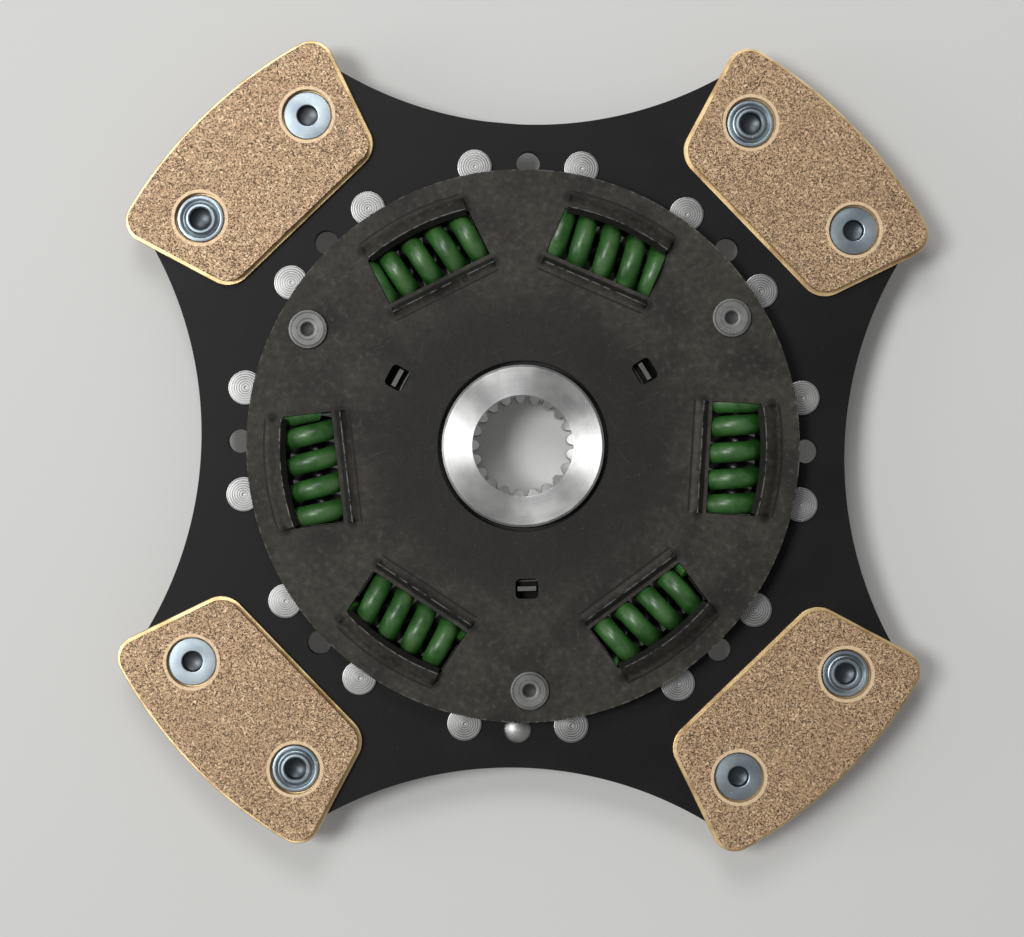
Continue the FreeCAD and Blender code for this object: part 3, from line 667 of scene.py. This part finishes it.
# The pad rivets' bores are painted dark through hollow, as painted shade.
ZINC_STEEL = TurnedSteel("zinc_plate", colour=(0.30, 0.35, 0.38), shade=(0.21, 0.25, 0.285), roughness=0.38,
                         grain=0.2, own_axis=True, groove=0.5, rings=0.3, hollow=2.5)
DOME_STEEL = TurnedSteel("dome_steel", colour=(0.45, 0.45, 0.44), shade=(0.21, 0.21, 0.205), roughness=0.44,
                         grain=0.1, own_axis=True)
# The dimple of each pin head is painted dark through hollow, as painted shade.
PIN_STEEL = TurnedSteel("pin_steel", colour=(0.18, 0.18, 0.175), shade=(0.060, 0.060, 0.058), roughness=0.52,
                        grain=0.2, own_axis=True, groove=0.5, rings=0.8, hollow=1.7)
# Painted shade: the hub's flange, the lugged ring and the cone spring lie deep between the plates and are painted near
# black; the flange's ring lies beyond its rim.
FLANGE_STEEL = ShadedSteel("flange_steel", inner=90.0, outer=91.0)
RING_STEEL = ShadedSteel("shaded_steel")
EDGE_STEEL = ShadedSteel("spring_edge", bare=(0.09, 0.09, 0.088), height=18.0, inner=34.9, outer=35.3)
PLATE_STEEL = PhosphateSteel("phosphate")
SPIDER_STEEL = BlackSatin("black_satin")
SPRING_PAINT = GreenPaint("green_paint")
FACING = SinteredCopper("sintered_copper")
PLATING = PlatedSheet("plated_sheet")
BUSH_RESIN = Moulded("bush_resin")
# Painted shade: the washers show in the gap round the hub, so their fibre is painted near black.
WASHER_FIBRE = Moulded("shaded_fibre", colour=(0.006, 0.0055, 0.005), pale=(0.010, 0.009, 0.008))


def polar(radius: float, angle: float) -> tuple[float, float]:
    """The place at a radius and an angle in degrees."""
    return radius * math.cos(math.radians(angle)), radius * math.sin(math.radians(angle))


def cad_copy(node: str) -> bmesh.types.BMesh:
    """A copy of a node's mesh with its loose triangles joined.

    Args:
        node: The node's name.

    Returns:
        The joined copy.
    """
    shape = bmesh.new()
    shape.from_mesh(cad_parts[node].data)
    bmesh.ops.remove_doubles(shape, verts=shape.verts, dist=MERGE)
    return shape


def join_flats(shape: bmesh.types.BMesh) -> None:
    """Turns the triangles of each flat face into one face."""
    bmesh.ops.dissolve_limit(shape, angle_limit=FLAT, use_dissolve_boundaries=False,
                             verts=shape.verts, edges=shape.edges, delimit=set())


def true_round(shape: bmesh.types.BMesh, radius: float, centre: tuple[float, float] = (0.0, 0.0),
               cuts: int = 3) -> None:
    """Divides the short edges that lie along a circle, with the new points on it.

    Args:
        shape: The mesh.
        radius: The circle's radius.
        centre: Its middle.
        cuts: New points on each edge.
    """
    middle, reach = Vector(centre) * MM, radius * MM
    longest = min(0.5 * reach, 14 * MM)
    edges = [edge for edge in shape.edges
             if edge.calc_length() < longest
             and abs(edge.verts[0].co.z - edge.verts[1].co.z) < NEAR
             and all(abs((vert.co.xy - middle).length - reach) < NEAR for vert in edge.verts)]
    if not edges:
        return
    made = bmesh.ops.subdivide_edges(shape, edges=edges, cuts=cuts, use_grid_fill=True)
    for vert in (item for item in made["geom_inner"] if isinstance(item, bmesh.types.BMVert)):
        way = vert.co.xy - middle
        vert.co.xy = middle + way * (reach / way.length)


def lathe(shape: bmesh.types.BMesh, profile: Profile, centre: tuple[float, float] = (0.0, 0.0),
          steps: int = 64, edge: float = 0.0, seed: int = 0) -> None:
    """Adds a turned piece to a mesh.

    Args:
        shape: The mesh that gets it.
        profile: Radii and heights, from the top of the piece round to its start.
        centre: The place of its axis.
        steps: Segments of the full turn.
        edge: Size of the soft edges.
        seed: Shifts the finish from one piece to the next.
    """
    new = bmesh.new()
    middle = Vector((*centre, 0)) * MM
    verts = [new.verts.new(middle + Vector((radius, 0, height)) * MM) for radius, height in profile]
    edges = [new.edges.new(pair) for pair in zip(verts, verts[1:])]
    bmesh.ops.spin(new, geom=verts + edges, cent=middle, axis=(0, 0, 1), angle=math.tau, steps=steps,
                   dvec=(0, 0, 0), use_merge=True, use_duplicate=False)
    bmesh.ops.remove_doubles(new, verts=new.verts, dist=MERGE)
    bmesh.ops.recalc_face_normals(new, faces=new.faces)
    if edge:
        corners = [line for line in new.edges if line.is_manifold and line.calc_face_angle() > SHARP]
        bmesh.ops.bevel(new, geom=corners, offset=edge * MM, offset_type="OFFSET", segments=3, profile=0.5,
                        affect="EDGES", material=-1, clamp_overlap=True)
    layer = new.verts.layers.float_vector.new(OWN)
    for vert in new.verts:
        vert[layer] = vert.co - middle + Vector((0, 0, seed * 40 * MM))
    own_mesh = bpy.data.meshes.new("turned")
    new.to_mesh(own_mesh)
    new.free()
    shape.from_mesh(own_mesh)
    bpy.data.meshes.remove(own_mesh)


@dataclass
class Piece:
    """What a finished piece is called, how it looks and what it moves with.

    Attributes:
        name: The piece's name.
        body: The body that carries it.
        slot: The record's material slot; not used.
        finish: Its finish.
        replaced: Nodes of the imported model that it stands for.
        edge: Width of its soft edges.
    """

    name: str
    body: Body
    slot: Slot
    finish: Finish
    replaced: tuple[str, ...] = ()
    edge: float = 0.0

    def place(self, shape: bmesh.types.BMesh) -> bpy.types.Object:
        """Makes the object and hangs it on its body.

        Args:
            shape: The mesh, used up by this.

        Returns:
            The piece.
        """
        mesh = bpy.data.meshes.new(self.name)
        shape.to_mesh(mesh)
        shape.free()
        mesh.polygons.foreach_set("use_smooth", [True] * len(mesh.polygons))
        mesh.set_sharp_from_angle(angle=SHARP)
        mesh.materials.clear()
        mesh.materials.append(self.finish.material())
        mesh.polygons.foreach_set("material_index", [0] * len(mesh.polygons))
        piece = bpy.data.objects.new(self.name, mesh)
        bpy.context.scene.collection.objects.link(piece)
        if self.edge:
            bevel = piece.modifiers.new("soft_edges", "BEVEL")
            bevel.width = self.edge * MM
            bevel.segments = 2
            bevel.limit_method = "ANGLE"
            bevel.angle_limit = SHARP
            bevel.harden_normals = True
        weighted = piece.modifiers.new("flat_faces", "WEIGHTED_NORMAL")
        weighted.keep_sharp = True
        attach(piece, self.body.value)
        if self.replaced:
            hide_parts(*self.replaced)
        logging.info("%s: %d faces", self.name, len(mesh.polygons))
        return piece


@dataclass
class Hub:
    """The splined hub: a turned core with its teeth, and the flange between the plates."""

    length: float = 22.5
    barrel: float = 19.0
    boss: float = 21.0
    chamfer: float = 0.6
    teeth: int = 21
    tip: float = 11.4
    root: float = 13.05
    gap_tip: float = 2.2
    gap_root: float = 0.9
    lead_radius: float = 13.15
    lead_depth: float = 1.2
    flange_base: float = 13.2
    land_height: float = 16.2

    def tooth_space(self) -> Profile:
        """One pitch of the bore, from the middle of a tooth to the middle of the next, as angles and radii."""
        pitch = 360 / self.teeth
        mouth = math.degrees(math.atan2(self.gap_tip / 2, self.tip))
        floor = math.degrees(math.atan2(self.gap_root / 2, self.root))
        round_off = 0.16
        side = [
            (-pitch / 2, self.tip),
            (-mouth - 1.1, self.tip),
            (-mouth + 0.1, self.tip + round_off),
        ]
        for share in (0.25, 0.5, 0.75):
            bow = 0.62 * math.sin(math.pi * share)
            side.append((-mouth + (mouth - floor) * share + bow, self.tip + (self.root - self.tip) * share))
        side += [(-floor - 0.1, self.root - 0.12), (-floor + 0.5, self.root)]
        return side + [(0.0, self.root)] + [(-angle, radius) for angle, radius in reversed(side)]

    def core(self) -> bmesh.types.BMesh:
        """The turned middle, from the teeth outwards, as one closed shell."""
        shape = bmesh.new()
        points = []
        for tooth in range(self.teeth):
            turn = tooth * 360 / self.teeth
            points += [polar(radius, angle + turn) for angle, radius in self.tooth_space()[:-1]]
        low = [shape.verts.new((x * MM, y * MM, self.lead_end(math.hypot(x, y), False) * MM)) for x, y in points]
        loop = [shape.edges.new(pair) for pair in zip(low, low[1:] + low[:1])]
        rim = self.chamfer
        outer = [
            (self.lead_radius, self.length),
            (self.boss - rim, self.length),
            (self.boss, self.length - rim),
            (self.boss, self.flange_base),
            (self.barrel, self.flange_base),
            (self.barrel, rim),
            (self.barrel - rim, 0.0),
            (self.lead_radius, 0.0),
        ]
        start, loop = loop, self.grow(shape, loop, None, None)
        for radius, height in outer:
            loop = self.grow(shape, loop, radius, height)
        bmesh.ops.bridge_loops(shape, edges=loop + start)
        bmesh.ops.remove_doubles(shape, verts=shape.verts, dist=MERGE)
        bmesh.ops.recalc_face_normals(shape, faces=shape.faces)
        return shape

    def lead_end(self, radius: float, upper: bool) -> float:
        """The height at which the lead-in's cone meets a radius."""
        depth = self.lead_depth * (self.lead_radius - radius) / (self.lead_radius - self.tip)
        return self.length - depth if upper else depth

    def grow(self, shape: bmesh.types.BMesh, loop: list, radius: float | None, height: float | None) -> list:
        """Extrudes a loop to a radius and a height, or straight up the teeth to the upper lead-in.

        Args:
            shape: The mesh.
            loop: The edges of the loop.
            radius: The new radius, or None to keep each point's own.
            height: The new height, or None for the lead-in.

        Returns:
            The new loop.
        """
        made = bmesh.ops.extrude_edge_only(shape, edges=loop)["geom"]
        for vert in (item for item in made if isinstance(item, bmesh.types.BMVert)):
            reach = vert.co.xy.length
            if radius is None:
                vert.co.z = self.lead_end(reach / MM, True) * MM
            else:
                vert.co.xy *= radius * MM / reach
                vert.co.z = height * MM
        return [item for item in made if isinstance(item, bmesh.types.BMEdge)]

    def flange(self) -> bmesh.types.BMesh:
        """The flange with its windows and notches, closed inside the core."""
        shape = cad_copy("hub")
        kept = ((self.boss, self.land_height), (self.barrel, self.flange_base))
        gone = [vert for vert in shape.verts
                if vert.co.xy.length < (self.boss + 0.2) * MM
                and not any(abs(vert.co.xy.length - radius * MM) < 5 * NEAR and abs(vert.co.z - height * MM) < NEAR
                            for radius, height in kept)]
        bmesh.ops.delete(shape, geom=gone, context="VERTS")
        bmesh.ops.bridge_loops(shape, edges=[edge for edge in shape.edges if edge.is_boundary])
        join_flats(shape)
        for radius in (67.0, 40.0):
            true_round(shape, radius)
        return shape

    def build(self) -> None:
        """Places both pieces of the hub."""
        Piece("hub_core", Body.HUB, Slot.MACHINED, HUB_STEEL, ("hub",), 0.1).place(self.core())
        Piece("hub_flange", Body.HUB, Slot.MACHINED, FLANGE_STEEL, ("hub",), 0.2).place(self.flange())


@dataclass
class Plates:
    """The two pressed plates with their lipped windows."""

    cover_radius: float = 71.5
    cover_bore: float = 22.0
    drive_radius: float = 80.0
    edge: float = 0.22

    def build(self) -> None:
        """Places the cover plate and the drive plate."""
        for node, radii in (("cover_plate", (self.cover_radius, self.cover_bore)), ("drive_plate", (self.drive_radius,))):
            shape = cad_copy(node)
            join_flats(shape)
            for radius in radii:
                true_round(shape, radius)
            Piece(node + "_sheet", Body.PLATES, Slot.PHOSPHATED, PLATE_STEEL, (node,), self.edge).place(shape)


@dataclass
class Springs:
    """Six damper springs with closed and ground ends.

    Attributes:
        circle: Distance from the disc's axis to the springs' axes.
        height: Height of those axes.
        coil: Radius of the wire's middle line.
        wire: Radius of the wire.
        length: Length between the ground ends.
        closed_pitch: Pitch of the end coils.
        closed_turns: Turns of each end coil.
        open_pitch: Pitch between them.
        overhang: Wire wound beyond each end and ground off.
        lean: How far the coils lean in their windows.
        gaps: Where a gap between two coils lies in each window, from its middle.
        pin_angle: Direction of the first stop pin.
        offset: Angle from a pin to the spring on each side.
        steps_a_turn: Steps of the wire in a turn.
        keep: Length that is left at the end of the twist; not used.
    """

    circle: float = 54.5
    height: float = 15.7
    coil: float = 5.55
    wire: float = 2.7
    length: float = 28.6
    closed_pitch: float = 5.5
    closed_turns: float = 0.9
    open_pitch: float = 6.9
    overhang: float = 1.0
    lean: float = 0.0775
    gaps: tuple[float, ...] = (-1.71, -3.4, -1.51, 1.22, 0.07, -0.14)
    pin_angle: float = 32.6
    offset: float = 35.0
    steps_a_turn: int = 40
    keep: float = 0.83

    def build(self) -> None:
        """Places the springs, each on a mesh of its own."""
        for number in range(6):
            pin = self.pin_angle + 120 * (number // 2)
            angle = pin + self.offset * (1 if number % 2 else -1)
            shape = self.wound(number)
            bmesh.ops.rotate(shape, verts=shape.verts, cent=(0, 0, 0),
                             matrix=Matrix.Rotation(math.radians(angle), 3, "Z"))
            name = f"damper_spring_{number + 1}"
            piece = Piece(f"coil_{number + 1}", Body.SPRINGS, Slot.GREEN, SPRING_PAINT, (name,)).place(shape)
            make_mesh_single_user(piece)

    def wound(self, number: int) -> bmesh.types.BMesh:
        """One spring across the x axis, wound to the right."""
        shape = bmesh.new()
        half = self.length / 2
        start = -half - self.overhang
        centre = Vector((self.circle, 0, self.height)) * MM
        ring = bmesh.ops.create_circle(shape, cap_ends=False, segments=20, radius=self.wire * MM)["verts"]
        bmesh.ops.translate(shape, verts=ring, vec=Vector((self.circle + self.coil, start, self.height)) * MM)
        bmesh.ops.contextual_create(shape, geom=list(shape.edges))
        middle = -2 * (start + self.closed_turns * self.closed_pitch)
        open_turns = round(middle / self.open_pitch * 4) / 4
        stretches = (
            (self.closed_turns, self.closed_pitch),
            (open_turns, middle / open_turns),
            (self.closed_turns, self.closed_pitch),
        )
        last = list(shape.faces) + list(shape.edges) + list(shape.verts)
        for turns, pitch in stretches:
            steps = round(turns * self.steps_a_turn)
            made = bmesh.ops.spin(shape, geom=last, cent=centre, axis=(0, 1, 0), angle=turns * math.tau,
                                  steps=steps, dvec=(0, turns * pitch * MM / steps, 0),
                                  use_merge=False, use_duplicate=False)
            last = made["geom_last"]
            centre = centre.copy()
        swing = -math.radians((self.gaps[number] + 1.03) * 360 / self.open_pitch)
        bmesh.ops.rotate(shape, verts=shape.verts, cent=Vector((self.circle, 0, self.height)) * MM,
                         matrix=Matrix.Rotation(swing, 3, "Y"))
        leaning = Matrix(((1, 0, 0, 0), (-self.lean, 1, 0, self.lean * self.circle * MM), (0, 0, 1, 0), (0, 0, 0, 1)))
        bmesh.ops.transform(shape, matrix=leaning, verts=shape.verts)
        for side in (1, -1):
            cut = bmesh.ops.bisect_plane(shape, geom=list(shape.verts) + list(shape.edges) + list(shape.faces),
                                         plane_co=(0, side * half * MM, 0), plane_no=(0, side, 0), clear_outer=True)
            edges = [item for item in cut["geom_cut"] if isinstance(item, bmesh.types.BMEdge) and item.is_boundary]
            bmesh.ops.holes_fill(shape, edges=edges, sides=0)
        bmesh.ops.recalc_face_normals(shape, faces=shape.faces)
        layer = shape.verts.layers.float_vector.new(OWN)
        axis = Vector((self.circle, 0, self.height)) * MM
        for vert in shape.verts:
            vert[layer] = vert.co - axis
        return shape


@dataclass
class Rivets:
    """Stop pins, ring rivets, the balance rivet and the tubular pad rivets."""

    drive_base: float = 9.9
    drive_top: float = 12.4
    spider_top: float = 14.2
    cover_base: float = 19.0
    cover_top: float = 21.5
    backing_top: float = 15.2
    backing_base: float = 11.4
    pin_angle: float = 32.6
    pin_circle: float = 63.2
    ring_circle: float = 74.0
    pad_circle: float = 102.8
    spread: float = 10.85

    def pins(self) -> None:
        """The three stop pins, each head dished by its riveting tool."""
        top, low = self.cover_top + 1.0, self.drive_base - 1.0
        profile = [
            (0, top - 0.42), (1.1, top - 0.36), (1.8, top - 0.16), (2.1, top), (4.25, top), (4.32, top - 0.1),
            (4.42, top - 0.1), (4.5, top), (4.86, top - 0.04), (5.0, top - 0.2), (5.0, self.cover_top),
            (3.5, self.cover_top), (3.5, self.cover_base), (5.0, self.cover_base), (5.0, self.drive_top),
            (3.5, self.drive_top), (3.5, self.drive_base), (5.0, self.drive_base), (5.0, low + 0.2),
            (4.8, low), (2.0, low), (1.2, low + 0.3), (0, low + 0.35),
        ]
        for number in range(3):
            shape = bmesh.new()
            centre = polar(self.pin_circle, self.pin_angle + 120 * number)
            lathe(shape, profile, centre, 72, 0, number)
            Piece(f"riveted_pin_{number + 1}", Body.PLATES, Slot.RIVET, PIN_STEEL,
                  (f"stop_pin_{number + 1}",)).place(shape)

    def ring(self) -> None:
        """Sixteen flat-headed rivets round the spider's inner edge."""
        top, low = self.spider_top + 0.8, self.drive_base - 1.0
        profile = [
            (0, top - 0.03), (0.35, top - 0.03), (0.42, top), (4.2, top), (4.45, top - 0.1), (4.55, top - 0.3),
            (4.55, self.spider_top), (2.5, self.spider_top), (2.5, self.drive_base), (4.2, self.drive_base),
            (4.2, low + 0.3), (3.9, low), (0, low),
        ]
        shape = bmesh.new()
        for number in range(16):
            angle = 45 * (number // 2) + self.spread * (1 if number % 2 else -1)
            lathe(shape, profile, polar(self.ring_circle, angle), 56, 0, number)
        Piece("ring_rivet_set", Body.PLATES, Slot.RIVET, RIVET_STEEL, ("ring_rivets",)).place(shape)

    def balance(self) -> None:
        """The domed rivet in the lowest balance hole."""
        low = self.drive_base - 1.0
        dome = [(3.6 * math.sin(step * math.pi / 16), self.spider_top + 1.6 * math.cos(step * math.pi / 16))
                for step in range(9)]
        profile = dome + [
            (3.05, self.spider_top), (3.05, self.drive_base), (3.6, self.drive_base), (3.6, low + 0.3), (3.3, low),
            (0, low),
        ]
        shape = bmesh.new()
        lathe(shape, profile, polar(self.ring_circle, 270), 56)
        Piece("balance_dome", Body.PLATES, Slot.RIVET, DOME_STEEL, ("balance_rivet",)).place(shape)

    def pads(self) -> None:
        """Eight tubular rivets, a flat head at one end and a rolled edge at the other."""
        for label, side, head_up in (("pad_rivets_head_up", -1, True), ("pad_rivets_head_down", 1, False)):
            shape = bmesh.new()
            for number in range(4):
                angle = 45 + 90 * number + side * self.spread
                lathe(shape, self.tube(head_up), polar(self.pad_circle, angle), 72, 0, number + (0 if head_up else 4))
            Piece(label.replace("rivets", "tube_rivets"), Body.PLATES, Slot.RIVET, ZINC_STEEL, (label,)).place(shape)

    def tube(self, head_up: bool) -> Profile:
        """The profile of a semi-tubular rivet, whose bore is blind from both ends.

        Args:
            head_up: Whether the flat head is above.

        Returns:
            The profile, from the axis round to the axis.
        """
        top, low = self.backing_top, self.backing_base
        profile = [
            (0, top - 1.45), (1.6, top - 1.4), (2.4, top - 1.1), (2.6, top + 0.6), (2.75, top + 0.9),
            (3.0, top + 1.0), (5.9, top + 1.0), (6.2, top + 0.85), (6.25, top + 0.6), (6.25, top), (3.8, top),
            (3.8, low), (6.05, low), (6.2, low - 0.3), (6.2, low - 0.8), (6.0, low - 1.05), (5.6, low - 1.15),
            (5.2, low - 1.1), (4.85, low - 0.8), (4.55, low - 0.62), (4.3, low - 0.7), (4.05, low - 1.1),
            (3.7, low - 1.36), (3.2, low - 1.38), (2.9, low - 1.2), (2.65, low - 0.7),
            (2.5, low + 1.4), (1.7, low + 1.8), (0, low + 1.9),
        ]
        if not head_up:
            profile = [(radius, top + low - height) for radius, height in profile]
        return profile

    def build(self) -> None:
        """Places all the rivets."""
        self.pins()
        self.ring()
        self.balance()
        self.pads()


@dataclass
class Spider:
    """The four-armed plate under the pads."""

    bore: float = 69.0
    reach: float = 117.0
    hollow: float = 100.0
    hollow_centre: float = 184.0
    ring_circle: float = 74.0
    balance_hole: float = 3.1

    def build(self) -> None:
        """Places the spider."""
        shape = cad_copy("spider")
        join_flats(shape)
        true_round(shape, self.bore)
        true_round(shape, self.reach)
        for number in range(4):
            true_round(shape, self.hollow, polar(self.hollow_centre, 90 * number), 4)
        for number in range(8):
            true_round(shape, self.balance_hole, polar(self.ring_circle, 45 * number), 2)
        Piece("spider_sheet", Body.PLATES, Slot.BLACK, SPIDER_STEEL, ("spider",), 0.18).place(shape)


@dataclass
class Pads:
    """Friction pads on their backing plates, above and below each arm."""

    circle: float = 102.8
    spread: float = 10.85
    counterbore: float = 6.55
    outer: float = 120.0
    rim: float = 1.0

    def build(self) -> None:
        """Places the sixteen layers."""
        for number in range(4):
            middle = 45 + 90 * number
            for side in ("top", "bottom"):
                facing = cad_copy(f"friction_pad_{side}_{number + 1}")
                join_flats(facing)
                true_round(facing, self.outer - self.rim)
                for way in (-1, 1):
                    true_round(facing, self.counterbore, polar(self.circle, middle + way * self.spread), 3)
                Piece(f"facing_{side}_{number + 1}", Body.PLATES, Slot.SINTERED, FACING,
                      (f"friction_pad_{side}_{number + 1}",), 0.2).place(facing)
                backing = cad_copy(f"backing_plate_{side}_{number + 1}")
                join_flats(backing)
                true_round(backing, self.outer)
                Piece(f"backing_{side}_{number + 1}", Body.PLATES, Slot.COPPERED, PLATING,
                      (f"backing_plate_{side}_{number + 1}",), 0.2).place(backing)


@dataclass
class InnerRings:
    """The rings between the hub's flange and the plates, and the bush under them."""

    def build(self) -> None:
        """Places each ring."""
        rings = (
            ("bush_sleeve", "centring_bush", Slot.BUSH, BUSH_RESIN,
             [(19.06, 9.9), (21.06, 9.9), (21.06, 12.4), (24.0, 12.4), (24.0, 13.2), (19.06, 13.2)]),
            ("lower_washer", "lower_friction_washer", Slot.FIBRE, WASHER_FIBRE,
             [(24.3, 12.4), (38.0, 12.4), (38.0, 13.2), (24.3, 13.2)]),
            ("upper_washer", "upper_friction_washer", Slot.FIBRE, WASHER_FIBRE,
             [(21.3, 16.2), (37.0, 16.2), (37.0, 17.2), (21.3, 17.2)]),
            ("cone_spring", "disc_spring", Slot.BARE, EDGE_STEEL,
             [(35.2, 18.2), (35.2, 18.7), (24.5, 19.0), (24.5, 18.5)]),
        )
        for name, node, slot, finish, profile in rings:
            shape = bmesh.new()
            lathe(shape, profile + profile[:1], steps=128, edge=0.08)
            Piece(name, Body.PLATES, slot, finish, (node,)).place(shape)
        shape = cad_copy("thrust_ring")
        join_flats(shape)
        Piece("lugged_ring", Body.PLATES, Slot.BARE, RING_STEEL, ("thrust_ring",), 0.12).place(shape)


@dataclass
class Studio:
    """The pale floor, the soft lights and the camera overhead."""

    floor_colour: Colour = (0.59, 0.59, 0.577)
    floor_glow: float = 0.07
    ambient: float = 0.27
    lens: float = 88.0
    height: float = 668.0
    aim: tuple[float, float] = (-2.75, -5.89)
    roll: float = 1.05

    def build(self) -> None:
        """Makes the stage, the world, the lights and the camera."""
        self.floor()
        world = bpy.data.worlds.new("studio")
        world.use_nodes = True
        world.node_tree.nodes["Background"].inputs["Color"].default_value = (1, 1, 1, 1)
        world.node_tree.nodes["Background"].inputs["Strength"].default_value = self.ambient
        bpy.context.scene.world = world
        self.lamp("key", (-1098, 100, 2340), 680, 38)
        self.lamp("fill_top", (-120, 420, 720), 260, 1.9)
        self.lamp("low_left", (-992, -96, 416), 480, 1.8)
        self.camera()
        bpy.context.scene.view_settings.view_transform = "Standard"

    def floor(self) -> None:
        """The pale floor that the disc stands on. Part of its paleness is its own, so that shadows stay faint."""
        shape = bmesh.new()
        bmesh.ops.create_grid(shape, x_segments=1, y_segments=1, size=3.0)
        mesh = bpy.data.meshes.new("floor")
        shape.to_mesh(mesh)
        shape.free()
        graph = Graph("floor")
        graph.set(Base_Color=self.floor_colour, Roughness=0.9, Specular_IOR_Level=0.1)
        rays = graph.add("ShaderNodeLightPath").outputs
        seen = graph.calc("MAXIMUM", rays["Is Camera Ray"], rays["Is Glossy Ray"])
        seen = graph.calc("MAXIMUM", seen, rays["Is Transmission Ray"])
        glow, both = graph.add("ShaderNodeEmission"), graph.add("ShaderNodeMixShader")
        graph.feed(glow.inputs["Color"], (*self.floor_colour, 1))
        graph.feed(both.inputs[0], graph.calc("MULTIPLY", seen, self.floor_glow))
        graph.feed(both.inputs[1], graph.shader.outputs[0])
        graph.feed(both.inputs[2], glow.outputs[0])
        graph.feed(graph.tree.nodes["Material Output"].inputs["Surface"], both.outputs[0])
        mesh.materials.append(graph.material)
        floor = bpy.data.objects.new("floor", mesh)
        bpy.context.scene.collection.objects.link(floor)

    def lamp(self, name: str, place: tuple[float, float, float], side: float, power: float) -> None:
        """A square soft light turned to the disc.

        Args:
            name: The light's name.
            place: Where it stands.
            side: Its side length.
            power: Its power in watts.
        """
        light = bpy.data.lights.new(name, "AREA")
        light.energy, light.size = power, side * MM
        lamp = bpy.data.objects.new(name, light)
        lamp.location = Vector(place) * MM
        lamp.rotation_euler = (-Vector(place)).to_track_quat("-Z", "Y").to_euler()
        bpy.context.scene.collection.objects.link(lamp)

    def camera(self) -> None:
        """The camera straight above the disc."""
        data = bpy.data.cameras.new("overhead")
        data.lens, data.sensor_width = self.lens, 36.0
        data.clip_start, data.clip_end = 0.01, 20.0
        camera = bpy.data.objects.new("overhead", data)
        camera.location = (self.aim[0] * MM, self.aim[1] * MM, self.height * MM)
        camera.rotation_euler = (0, 0, math.radians(self.roll))
        bpy.context.scene.collection.objects.link(camera)
        bpy.context.scene.camera = camera


def main() -> None:
    """Builds the studio and the disc, from the hub outwards."""
    logging.basicConfig(level=logging.INFO, format="%(message)s")
    for part in (Studio(), Hub(), InnerRings(), Plates(), Springs(), Rivets(), Spider(), Pads()):
        part.build()


if __name__ == "__main__":
    main()
